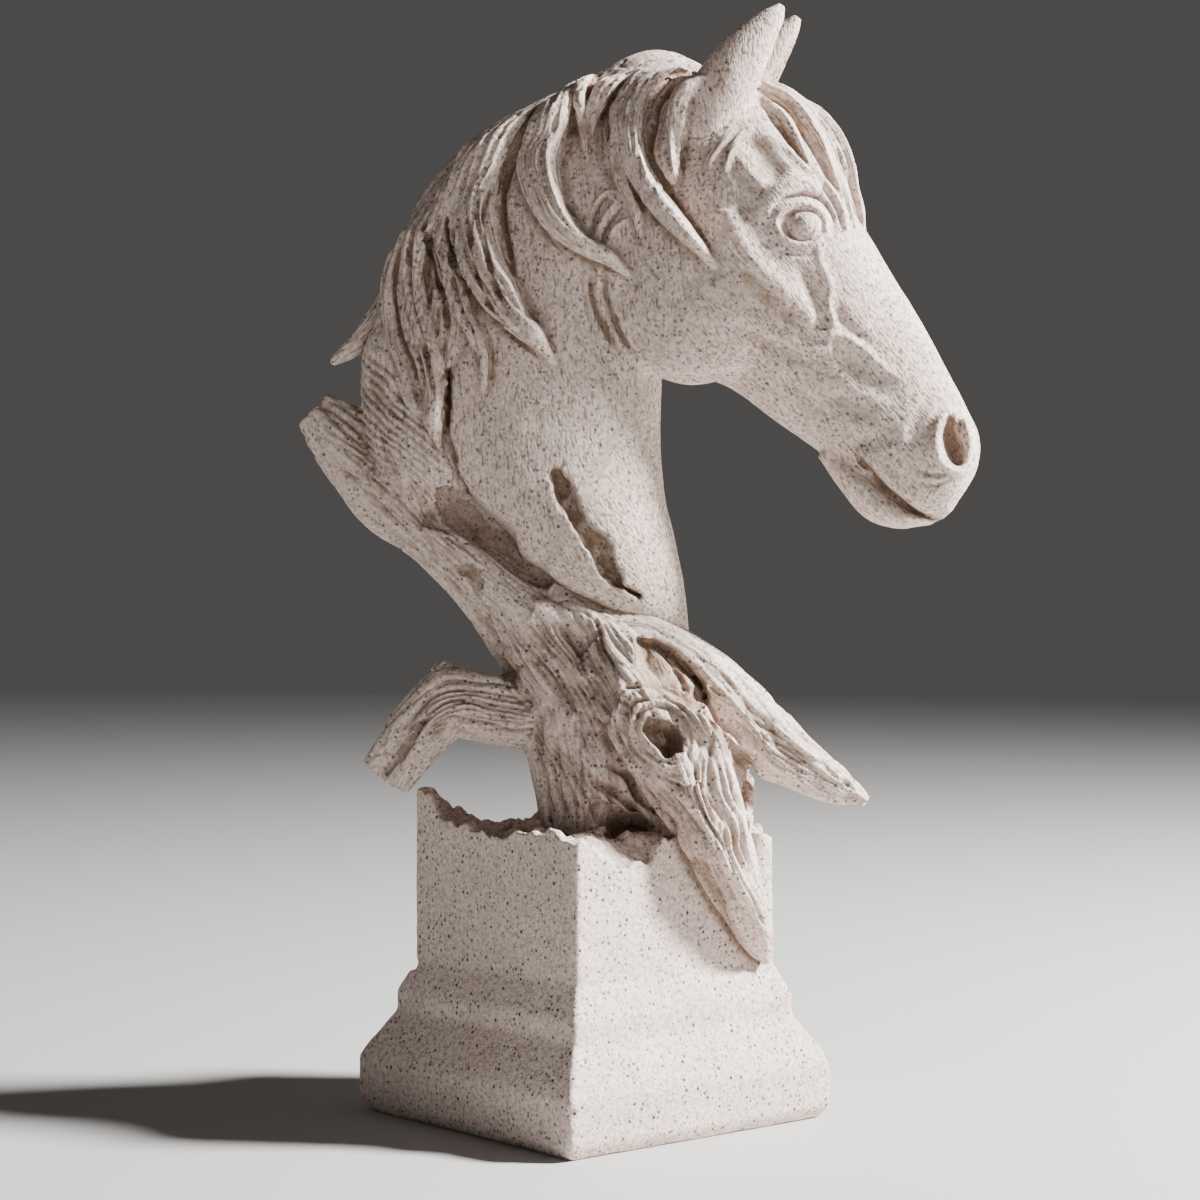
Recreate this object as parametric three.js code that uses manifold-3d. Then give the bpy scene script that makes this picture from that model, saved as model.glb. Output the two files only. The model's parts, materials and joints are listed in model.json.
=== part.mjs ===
// Horse head sculpture: a horse's head and neck growing out of driftwood, cast in one piece
// with the square moulded plinth that it stands on. Stone-coloured cast resin.
// Millimetres. +X is the way the horse faces, +Y its left side, +Z up.
// The origin is the middle of the plinth's underside.
import * as THREE from "three";
import { mergeVertices } from "three/addons/utils/BufferGeometryUtils.js";
import Module from "manifold-3d";

const wasm = await Module();
wasm.setup();

// Driving dimensions
const BASE_WIDTH = 120; // side of the plinth's square base
const NECKING_WIDTH = 101; // side of the band between the two slopes
const DIE_WIDTH = 91; // side of the plinth's upright block
const FOOT_CHAMFER = 3;
const BASE_HEIGHT = 20;
const BASE_SHOULDER = 24;
const NECKING_FOOT = 36.5;
const NECKING_TOP = 45;
const DIE_FOOT = 54.5;
const DIE_HEIGHT = 125; // before the top was broken away
const BROKEN_TOP = 106.5; // mean height of the broken top
const TOP_SLOPE = 0.09; // fall of the broken top towards +X
const TOP_BITE = { x: 17, y: -47, across: 12.5, depth: 13 };
const TOP_HOLLOW = { x: 0, y: 0, across: 34, depth: 8 };
const TOP_STEP = 1.5; // height of the small steps in the break
const CAST_RGB = [0.74, 0.69, 0.65];

// A closed three.js geometry as a solid that can be joined and cut.
function solidOf(geometry) {
  const bare = geometry.index ? geometry.toNonIndexed() : geometry.clone();
  const only = new THREE.BufferGeometry().setAttribute("position", bare.getAttribute("position"));
  const merged = mergeVertices(only, 1e-3);
  return new wasm.Manifold(
    new wasm.Mesh({
      numProp: 3,
      vertProperties: merged.attributes.position.array,
      triVerts: new Uint32Array(merged.index.array),
    }),
  );
}

// Puts each vertex of a unit cylinder where place(along, side, front) says: along is 0 to 1,
// and side and front are its place in the unit circle.
function bendCylinder(sides, steps, place) {
  const geometry = new THREE.CylinderGeometry(1, 1, 1, sides, steps);
  const at = geometry.getAttribute("position");
  for (let i = 0; i < at.count; i++) {
    const p = place(0.5 - at.getY(i), at.getX(i), at.getZ(i));
    at.setXYZ(i, p.x, p.y, p.z);
  }
  const solid = solidOf(geometry);
  return solid.volume() < 0 ? solidOf(turnedInsideOut(geometry)) : solid;
}

function turnedInsideOut(geometry) {
  const flipped = geometry.toNonIndexed();
  const at = flipped.getAttribute("position");
  const a = new THREE.Vector3();
  const b = new THREE.Vector3();
  for (let i = 0; i < at.count; i += 3) {
    a.fromBufferAttribute(at, i);
    b.fromBufferAttribute(at, i + 1);
    at.setXYZ(i, b.x, b.y, b.z);
    at.setXYZ(i + 1, a.x, a.y, a.z);
  }
  return flipped;
}

const curveThrough = (points) =>
  new THREE.CatmullRomCurve3(points.map((p) => new THREE.Vector3(p[0], p[1], p[2] ?? 0)));

// A limb follows the spine [x, y, z, across, through]: across is its half-width in the
// horse's profile plane and through its half-thickness from side to side. Flutes are
// grooves along it, each as deep as that share of its radius.
function limb(rows, { sides = 8, steps = 2 * rows.length, flutes = 0, groove = 0, twist = 0 } = {}) {
  const spine = curveThrough(rows);
  const sizes = curveThrough(rows.map((r) => [r[3], r[4], 0]));
  const lateral = new THREE.Vector3(0, 1, 0);
  return bendCylinder(sides, steps, (along, side, front) => {
    const centre = spine.getPoint(along);
    const ahead = spine.getTangent(along);
    const across = new THREE.Vector3().crossVectors(lateral, ahead).normalize();
    const through = new THREE.Vector3().crossVectors(ahead, across);
    const { x: halfAcross, y: halfThrough } = sizes.getPoint(along);
    const angle = Math.atan2(front, side);
    const cut = flutes ? 1 - (groove * (1 + Math.cos(flutes * (angle + twist * along)))) / 2 : 1;
    return centre
      .addScaledVector(across, side * halfAcross * cut)
      .addScaledVector(through, front * halfThrough * cut);
  });
}

// A body lofted through rows of [topX, topZ, bottomX, bottomZ, halfWidth, skew]: each row is
// one section across the profile, and skew makes it wider towards its top or, below zero,
// towards its bottom. Square is the superellipse's power.
function loft(rows, { sides = 20, steps = 2 * rows.length, square = 2.2 } = {}) {
  const tops = curveThrough(rows.map((r) => [r[0], r[1]]));
  const bottoms = curveThrough(rows.map((r) => [r[2], r[3]]));
  const widths = curveThrough(rows.map((r) => [r[4], r[5]]));
  const power = 2 / square;
  return bendCylinder(sides, steps, (along, side, front) => {
    const top = tops.getPoint(along);
    const bottom = bottoms.getPoint(along);
    const { x: halfWidth, y: skew } = widths.getPoint(along);
    const reach = Math.hypot(side, front);
    const up = reach ? Math.sign(side) * Math.abs(side / reach) ** power * reach : 0;
    const out = reach ? Math.sign(front) * Math.abs(front / reach) ** power * reach : 0;
    return new THREE.Vector3(
      (top.x + bottom.x) / 2 + (up * (top.x - bottom.x)) / 2,
      out * halfWidth * (1 + skew * up),
      (top.y + bottom.y) / 2 + (up * (top.y - bottom.y)) / 2,
    );
  });
}

// An ellipsoid with its half-sizes along x, y and z, then turned in the profile plane.
function blob([x, y, z], [rx, ry, rz], turn = 0, sides = 10) {
  const geometry = new THREE.SphereGeometry(1, sides, Math.ceil(sides * 0.6));
  geometry.scale(rx, ry, rz).rotateY(-turn).translate(x, y, z);
  return solidOf(geometry);
}

const joined = (solids) => solids.reduce((all, one) => all.add(one));
const mirrored = (rows) => rows.map(([x, y, ...rest]) => [x, -y, ...rest]);
const bothSides = (make, rows) => make(rows).add(make(mirrored(rows)));

// Plinth: a moulded square profile turned in four steps, with its top broken away
function plinth() {
  const halves = [
    [0, 0],
    [BASE_WIDTH / 2 - FOOT_CHAMFER, 0],
    [BASE_WIDTH / 2, FOOT_CHAMFER * 1.5],
    [BASE_WIDTH / 2, BASE_HEIGHT],
    [BASE_WIDTH / 2 - 2, BASE_SHOULDER],
    [NECKING_WIDTH / 2, NECKING_FOOT],
    [NECKING_WIDTH / 2, NECKING_TOP - 1.5],
    [DIE_WIDTH / 2, DIE_FOOT],
    [DIE_WIDTH / 2, DIE_HEIGHT],
    [0, DIE_HEIGHT],
  ];
  const profile = halves.map(([half, z]) => new THREE.Vector2(half * Math.SQRT2, z));
  const block = new THREE.LatheGeometry(profile, 4).rotateX(Math.PI / 2);
  const turned = solidOf(block);
  const whole = turned.volume() < 0 ? solidOf(turnedInsideOut(block)) : turned;
  return whole.subtract(brokenTop());
}

// What was broken off the plinth: a block whose underside follows brokenHeight.
function brokenTop() {
  const span = BASE_WIDTH * 1.2;
  const cells = 12;
  const over = new THREE.BoxGeometry(span, span, 1, cells, cells, 1).rotateZ(Math.PI / 4);
  const at = over.getAttribute("position");
  for (let i = 0; i < at.count; i++) {
    const lower = at.getZ(i) < 0;
    at.setZ(i, lower ? brokenHeight(at.getX(i), at.getY(i)) : DIE_HEIGHT + 1);
  }
  return solidOf(over);
}

const dip = (hole, x, y) =>
  hole.depth * Math.exp(-((x - hole.x) ** 2 + (y - hole.y) ** 2) / hole.across ** 2);

// Height of the broken top: it falls towards the horse's front, with a bite out of the face
// under the root and small steps all over.
function brokenHeight(x, y) {
  const steps = TOP_STEP * (Math.sin(x * 0.41 + y * 0.13) + Math.sin(y * 0.53 - x * 0.19));
  return BROKEN_TOP - TOP_SLOPE * x - dip(TOP_BITE, x, y) - dip(TOP_HOLLOW, x, y) + steps;
}

// Neck: front edge, back edge, half-width, skew. It leans back from the poll and ends in a
// broken edge over the driftwood.
const NECK = [
  [30, 366, 62, 318, 15, 0],
  [4, 362, 40, 298, 19, -0.1],
  [-24, 350, 22, 287, 21, -0.12],
  [-50, 330, 21, 277, 22, -0.12],
  [-66, 305, 24, 266, 23, -0.12],
  [-74, 278, 24, 252, 24, -0.1],
  [-72, 254, 24, 235, 25, -0.06],
  [-56, 228, 26, 218, 26, 0],
  [-37, 208, 30, 201, 25, 0.05],
  [-17, 190, 33, 184, 21, 0.08],
  [2, 178, 34, 170, 14, 0.1],
];

// Head: forehead and nose line, jaw line, half-width, skew, from the poll to the lips
const HEAD = [
  [44, 373, 24, 352, 9, 0],
  [56, 367, 12, 318, 20, 0.05],
  [71, 354, 12, 290, 26, 0.12],
  [85, 337, 22, 269, 27, 0.16],
  [93, 320, 38, 263, 25, 0.18],
  [98.5, 311, 50, 258, 22, 0.14],
  [108, 295, 62, 249, 18.5, 0.05],
  [116.5, 281, 73, 241, 16, -0.04],
  [125, 265, 83, 234, 15, -0.06],
  [132, 251, 91, 229, 15.5, 0],
  [136.5, 240, 99, 224, 16, 0.05],
  [135, 228, 108, 217, 14, 0],
  [127, 215, 120, 211.5, 6, 0],
];

// Lower lip and chin, under the mouth
const CHIN = [
  [88, 236, 80, 234, 7, 0],
  [95, 229, 88, 222, 11, 0],
  [105, 220, 97, 212, 12, 0],
  [114, 214, 108, 208.5, 10.5, 0],
  [121, 212, 119, 210, 5, 0],
];

// One ear, on the horse's right: a leaf with its hollow facing forward and outward
const EAR = [
  [44, -15, 344, 10, 9],
  [44, -16, 354, 10.5, 8.5],
  [50, -18, 367, 9.5, 7],
  [58, -18.5, 378, 7.5, 5],
  [66, -17.5, 387, 3, 2.2],
];
const EAR_HOLLOW = [
  [58, -20, 352, 4, 5],
  [61, -22, 366, 6, 5],
  [67, -22, 377, 5.5, 4],
  [72, -20, 388, 3, 2.5],
];
const FAR_EAR_LEAN = 5; // the far ear's tip stands this much further forward and up

function ear(rows, hollow) {
  return limb(rows, { sides: 10, steps: 8 }).subtract(limb(hollow, { sides: 8, steps: 5 }));
}

function farEar(rows) {
  const root = rows[0][2];
  const reach = rows[rows.length - 1][2] - root;
  return mirrored(rows).map(([x, y, z, ...rest]) => {
    const lean = (FAR_EAR_LEAN * (z - root)) / reach;
    return [x + lean, y, z + lean, ...rest];
  });
}

// Nostril: a rim with a hollow inside it
const NOSTRIL = [
  [124, -10, 248, 3, 4],
  [120.5, -13.5, 242, 3, 3.5],
  [121, -15, 234, 3, 3],
  [126, -14, 229.5, 3, 3],
  [131, -11, 233, 3, 3],
];
const NOSTRIL_HOLLOW = [
  [127, -14.5, 246, 2, 3],
  [126, -16, 239, 3.5, 3.5],
  [126.5, -15.5, 234, 3, 3],
];

// Cheek ridge from under the eye towards the muzzle, and the brow over the eye
const CHEEK_RIDGE = [
  [46, -22, 318, 3, 3],
  [58, -25, 303, 4, 3],
  [72, -23, 289, 4, 3],
  [82, -19, 282, 2.5, 2],
];
const BROW = [
  [63, -22, 317, 3, 3],
  [69, -24.5, 323, 4, 4],
  [78, -24, 323, 4, 4],
  [85, -20, 315, 3, 3],
  [86, -18, 306, 2, 2],
];

function head() {
  const mouthCut = (rows) => limb(rows, { sides: 4, steps: 5 });
  const mouth = [
    [90, -14, 234, 1.2, 4],
    [98, -14, 227, 1.2, 5],
    [108, -12, 218, 1.2, 6],
    [121, -7, 211.5, 1.2, 5],
  ];
  const jowl = ([centre]) => blob(centre, [27, 9.5, 28]);
  const eyeball = ([centre]) => blob(centre, [6.5, 6.5, 6.5]);
  const skull = joined([
    loft(HEAD, { sides: 16, steps: 18 }),
    loft(CHIN, { sides: 10, steps: 5 }),
    bothSides(jowl, [[35, -14.5, 289]]),
    bothSides(eyeball, [[75, -19.5, 312.5]]),
    bothSides((rows) => limb(rows, { sides: 6, steps: 5 }), CHEEK_RIDGE),
    bothSides((rows) => limb(rows, { sides: 6, steps: 7 }), BROW),
    bothSides((rows) => limb(rows, { sides: 6, steps: 7 }), NOSTRIL),
    ear(EAR, EAR_HOLLOW),
    ear(farEar(EAR), farEar(EAR_HOLLOW)),
  ]);
  return skull
    .subtract(bothSides(mouthCut, mouth))
    .subtract(bothSides((rows) => limb(rows, { sides: 6, steps: 4 }), NOSTRIL_HOLLOW));
}

// Driftwood limbs: [x, y, z, across, through]
const LOG = [
  [-101, 1, 252, 8, 7],
  [-88, 1, 240, 15, 10],
  [-70, 2, 226, 21, 14],
  [-50, 2, 208, 18, 17],
  [-30, 2, 189, 20, 20],
  [-12, 0, 170, 26, 22],
  [4, -2, 148, 28, 24],
];
const BARK = [
  [-71, -1, 290, 7, 9],
  [-69, -1, 270, 14, 13],
  [-65, 0, 250, 19, 15],
  [-57, 0, 230, 18, 16],
];
const STUMP = [
  [0, 0, 160, 26, 22],
  [2, -2, 138, 28, 24],
  [4, -3, 115, 26, 26],
  [6, -4, 92, 24, 26],
];
const ROOT = [
  [6, -12, 166, 14, 14],
  [23, -24, 144, 19, 15],
  [37, -31, 120, 17, 13],
  [46, -28, 98, 13, 11],
  [53, -19, 80, 10, 9],
  [58, -12, 66, 7, 6.5],
  [62, -6, 56, 3, 3],
];
const FAR_ROOT = [
  [0, 8, 164, 15, 14],
  [-3, 19, 144, 16, 13],
  [-8, 29, 125, 14, 11],
  [-14, 36, 109, 10, 8],
  [-18, 40, 96, 5, 5],
];
const RIGHT_LIMB = [
  [2, -6, 172, 12, 14],
  [22, -9, 167, 12, 13],
  [41, -11, 152, 15, 13],
  [57, -12, 137, 15, 11],
  [72, -12, 127, 10.5, 9],
  [86, -10, 118.5, 7, 6],
  [97, -9, 112.5, 2.5, 3],
];
const LEFT_BRANCH = [
  [2, 0, 150, 18, 18],
  [-22, -3, 143, 15, 15],
  [-38, -6, 145, 14, 13],
  [-51, -7, 146, 13.5, 12],
  [-63, -8, 134, 11, 10],
  [-72, -8, 118, 7, 7],
];
const BRANCH_SPUR = [
  [-56, -8, 148, 7, 6],
  [-69, -10, 137, 5, 5],
  [-80, -11, 124, 2.5, 3],
];
const BRANCH_STUB = [
  [-50, -6, 148, 7, 7],
  [-53, -7, 157, 5, 6],
  [-51, -7, 161, 3, 4],
];
const LIMB_HOLLOW = [
  [21, -22, 167, 2, 4],
  [30, -23, 161, 4.5, 6],
  [41, -23, 152, 5, 6],
  [51, -22, 142, 3, 4],
];

// The shadow gap under the neck's broken edge, and the slot through its front
const GAP = [
  [-60, -22, 232, 4, 8],
  [-52, -24, 226, 8, 9],
  [-41, -25, 213, 5.5, 9],
  [-28, -24, 200, 3.5, 7],
  [-15, -22, 188.5, 2, 5],
];
const SLOT = [
  [-11, -25, 227, 2, 3],
  [-4, -26, 218, 3.5, 5],
  [4, -25, 206, 3.5, 5],
  [12, -21, 190, 3, 5],
  [22, -16, 182, 2.2, 5],
  [33, -8, 171, 1.2, 4],
];

function driftwood() {
  const wood = joined([
    limb(LOG, { sides: 15, steps: 11, flutes: 5, groove: 0.14, twist: 0.6 }),
    limb(BARK, { sides: 10, steps: 5, flutes: 4, groove: 0.1 }),
    limb(STUMP, { sides: 15, steps: 4, flutes: 5, groove: 0.12 }),
    limb(ROOT, { sides: 15, steps: 11, flutes: 5, groove: 0.16, twist: 0.8 }),
    limb(FAR_ROOT, { sides: 10, steps: 7, flutes: 4, groove: 0.12, twist: 0.6 }),
    limb(RIGHT_LIMB, { sides: 12, steps: 11, flutes: 4, groove: 0.14, twist: 0.5 }),
    limb(LEFT_BRANCH, { sides: 12, steps: 11, flutes: 4, groove: 0.13, twist: 0.7 }),
    limb(BRANCH_SPUR, { sides: 7, steps: 4 }),
    limb(BRANCH_STUB, { sides: 7, steps: 3 }),
  ]);
  return wood.subtract(limb(LIMB_HOLLOW, { sides: 7, steps: 5 }));
}

// Knot: rings of grown-over wood round a hole, on the root's near side
const KNOT_CENTRE = [28, -37, 136];
function knot() {
  const [x, y, z] = KNOT_CENTRE;
  const tilt = 0.5;
  const ring = (rx, rz, tube, out) => {
    const torus = new THREE.TorusGeometry(1, tube / rx, 5, 14);
    torus.scale(rx, rz, rx).rotateX(Math.PI / 2).rotateY(tilt).translate(x, y - out, z);
    return solidOf(torus);
  };
  const rings = ring(9, 11, 3, 0).add(ring(14, 17, 3, -3));
  return { rings, hole: blob([x, y - 3, z], [5.5, 8, 7], tilt) };
}

const raycaster = new THREE.Raycaster();
// The near (side -1) or far (side 1) surface of a body at x, z: its y there.
function surfaceY(body, side, x, z) {
  raycaster.set(new THREE.Vector3(x, side * 200, z), new THREE.Vector3(0, -side, 0));
  const hit = raycaster.intersectObject(body)[0];
  return hit ? hit.point.y : 0;
}

// The outer shell's triangles: closed pockets left between crossing locks are filled.
function outerShell(triVerts, numVert) {
  const parent = Array.from({ length: numVert }, (_, i) => i);
  const rootOf = (v) => (parent[v] === v ? v : (parent[v] = rootOf(parent[v])));
  for (let i = 0; i < triVerts.length; i += 3) {
    parent[rootOf(triVerts[i + 1])] = rootOf(triVerts[i]);
    parent[rootOf(triVerts[i + 2])] = rootOf(triVerts[i]);
  }
  const counts = new Map();
  triVerts.forEach((v) => counts.set(rootOf(v), (counts.get(rootOf(v)) ?? 0) + 1));
  const outer = [...counts.keys()].reduce((a, b) => (counts.get(a) > counts.get(b) ? a : b));
  return triVerts.filter((v) => rootOf(v) === outer);
}

function meshOf(solid, material) {
  const { vertProperties, triVerts, numProp, numVert } = solid.getMesh();
  const at = new Float32Array(numVert * 3);
  for (let i = 0; i < numVert; i++) at.set(vertProperties.subarray(i * numProp, i * numProp + 3), i * 3);
  const geometry = new THREE.BufferGeometry()
    .setAttribute("position", new THREE.BufferAttribute(at, 3))
    .setIndex(new THREE.BufferAttribute(outerShell(triVerts, numVert), 1));
  geometry.computeVertexNormals();
  return new THREE.Mesh(geometry, material);
}

// Mane: each lock is [x, z, half-width] down its length, laid on the neck. A fourth number
// is its y where the lock starts on the crest.
const NEAR_LOCKS = [
  [
    [34, 372, 4, -2], [24, 364, 6, -12], [19, 350, 6.5], [22, 336, 6], [31, 320, 5], [40, 307, 4],
    [46, 299, 1.5],
  ],
  [
    [22, 375, 5, -2], [14, 364, 6, -13], [10, 350, 6], [10, 338, 5.5], [14, 323, 4.5],
    [19, 312, 3.5], [21, 306, 1.5],
  ],
  [
    [41, 366, 4, -8], [36, 352, 3.5], [34, 339, 3], [36, 330, 2.5], [33, 325, 1.5],
  ],
  [
    [-6, 364, 5, -2], [-14, 350, 7, -14], [-18, 334, 8], [-16, 320, 7.5], [-9, 310, 6],
    [1, 305, 4.5], [10, 302, 3.5], [18, 293, 1.2],
  ],
  [
    [6, 367, 4, -3], [0, 357, 4, -12], [-3, 347, 3.5], [1, 334, 1.5],
  ],
  [
    [-22, 357, 5, -2], [-33, 344, 7, -10], [-41, 326, 8], [-44, 310, 8], [-41, 295, 7.5],
    [-33, 282, 6], [-21, 274, 4], [-11, 267, 1.5],
  ],
  [
    [-14, 360, 4, -3], [-26, 344, 5, -14], [-34, 328, 5], [-35, 314, 4.5], [-32, 302, 4],
    [-27, 290, 3], [-23, 280, 1.5],
  ],
  [
    [-53, 327, 5, -2], [-61, 308, 7, -9], [-66, 290, 7], [-65, 273, 6.5], [-59, 260, 6],
    [-55, 246, 4.5], [-54, 234, 2],
  ],
  [
    [-44, 338, 5, -3], [-53, 320, 6, -12], [-55, 304, 5.5], [-52, 289, 4], [-48, 276, 1.5],
  ],
  [
    [-46, 300, 4], [-43, 286, 3.5], [-38, 273, 3], [-35, 263, 2.5], [-35, 255, 1.8],
  ],
  [
    [-60, 314, 4, 0], [-68, 299, 6, -4], [-72, 284, 6, -8], [-68, 268, 5, -12], [-61, 254, 3],
  ],
];
const SPUR = [
  [-70, -2, 292, 7, 7],
  [-79, -3, 280, 6, 6],
  [-87, -4, 273, 4, 4],
  [-94, -5, 268, 1.5, 2],
];
const FORELOCK = [
  [
    [58, 366, 4, -3], [70, 357, 5, -6], [80, 345, 5, -9], [86, 332, 5, -11], [90, 320, 4, -12],
    [90, 309, 3], [88, 300, 1.5],
  ],
  [
    [58, 365, 4, 2], [71, 355, 5, 1], [81, 345, 5, 0], [87, 332, 4.5, 0], [92, 321, 3.5, 0],
    [96, 312, 1.5, 0],
  ],
  [
    [56, 360, 3, -10], [64, 352, 3.5], [69, 344, 3], [73, 337, 1.5],
  ],
];
const CREST = [
  [40, 0, 365, 7, 8],
  [22, 0, 369, 10, 11],
  [2, 0, 361, 9, 13],
  [-16, 0, 351, 11, 15],
  [-34, 0, 340, 12, 15],
  [-50, 0, 326, 11, 14],
  [-61, 0, 309, 9, 13],
  [-67, 0, 293, 8, 12],
  [-68, 0, 278, 8, 11],
];

function mane(body, material) {
  const skin = meshOf(body, material);
  const lock = (side) => (rows) => {
    const laid = rows.map(([x, z, half, y]) => {
      const depth = y === undefined ? surfaceY(skin, side, x, z) : -side * y;
      return [x, depth, z, half, half * 0.85];
    });
    return limb(laid, { sides: 6, steps: rows.length });
  };
  const shift = (rows) => rows.slice(0, 6).map(([x, z, half, y]) => [x - 4, z - 3, half * 0.9, y]);
  return joined([
    ...NEAR_LOCKS.map(lock(-1)),
    ...NEAR_LOCKS.filter((rows, i) => i % 2).map(shift).map(lock(1)),
    ...FORELOCK.map(lock(-1)),
    lock(1)(FORELOCK[0]),
    limb(CREST, { sides: 8, steps: 9 }),
    limb(SPUR, { sides: 7, steps: 4 }),
  ]);
}

const castResin = new THREE.MeshStandardMaterial({
  color: new THREE.Color(...CAST_RGB),
  roughness: 0.85,
  metalness: 0,
});

function sculpture() {
  const neck = loft(NECK, { sides: 14, steps: 12 });
  const flesh = neck.add(head());
  const { rings, hole } = knot();
  const wood = driftwood().add(rings).subtract(hole);
  const slot = limb(SLOT, { sides: 5, steps: 6 });
  const gap = limb(GAP, { sides: 6, steps: 6 });
  return flesh.add(mane(flesh, castResin)).subtract(slot).add(wood).subtract(gap).add(plinth());
}

const horseHead = meshOf(sculpture(), castResin);
horseHead.name = "horse_head_sculpture";

const part = new THREE.Group();
part.add(horseHead);

export default part;
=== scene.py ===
# Horse head sculpture: a horse's head and neck growing out of driftwood, cast in one piece with
# the square moulded plinth it stands on. +X is the way the horse faces, -Y is the side that the
# photograph shows, +Z is up, and the origin is the middle of the plinth's underside.
import json
import math
import bpy
import numpy as np
import openvdb as vdb
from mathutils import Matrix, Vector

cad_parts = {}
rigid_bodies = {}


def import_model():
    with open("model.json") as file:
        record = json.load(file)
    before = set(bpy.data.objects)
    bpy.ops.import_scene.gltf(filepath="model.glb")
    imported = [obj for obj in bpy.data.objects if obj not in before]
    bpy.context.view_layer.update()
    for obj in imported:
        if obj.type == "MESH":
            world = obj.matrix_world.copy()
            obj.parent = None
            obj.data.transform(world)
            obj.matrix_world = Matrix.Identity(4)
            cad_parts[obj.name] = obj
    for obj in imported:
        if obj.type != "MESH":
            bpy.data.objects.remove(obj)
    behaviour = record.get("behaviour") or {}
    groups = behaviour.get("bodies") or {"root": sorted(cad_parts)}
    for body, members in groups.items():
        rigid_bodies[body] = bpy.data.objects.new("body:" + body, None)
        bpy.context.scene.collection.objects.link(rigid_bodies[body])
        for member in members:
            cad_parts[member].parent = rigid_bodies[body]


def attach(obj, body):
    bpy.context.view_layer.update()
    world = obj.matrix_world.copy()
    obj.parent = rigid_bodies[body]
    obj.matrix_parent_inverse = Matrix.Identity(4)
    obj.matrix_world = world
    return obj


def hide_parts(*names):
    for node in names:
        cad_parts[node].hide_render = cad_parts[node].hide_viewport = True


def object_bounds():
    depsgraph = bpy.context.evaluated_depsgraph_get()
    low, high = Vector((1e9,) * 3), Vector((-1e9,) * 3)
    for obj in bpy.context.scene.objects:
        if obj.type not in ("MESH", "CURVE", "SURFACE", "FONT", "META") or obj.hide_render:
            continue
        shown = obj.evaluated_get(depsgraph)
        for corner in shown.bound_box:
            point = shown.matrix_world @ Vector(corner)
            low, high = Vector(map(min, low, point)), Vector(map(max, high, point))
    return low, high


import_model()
cad_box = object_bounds()

# Plinth
# A square moulded block of cast resin and stone powder. It stands for masonry: its arrises are
# slightly worn, and its top is broken away with rubble in the break. It is modelled as clay is, of
# closed bodies in millimetres that are joined and cut in a grid of distances to the surface.
MM = 0.001
NEAR, FAR = -1, 1
BAND = 14
NOWHERE = 100.0


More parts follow.
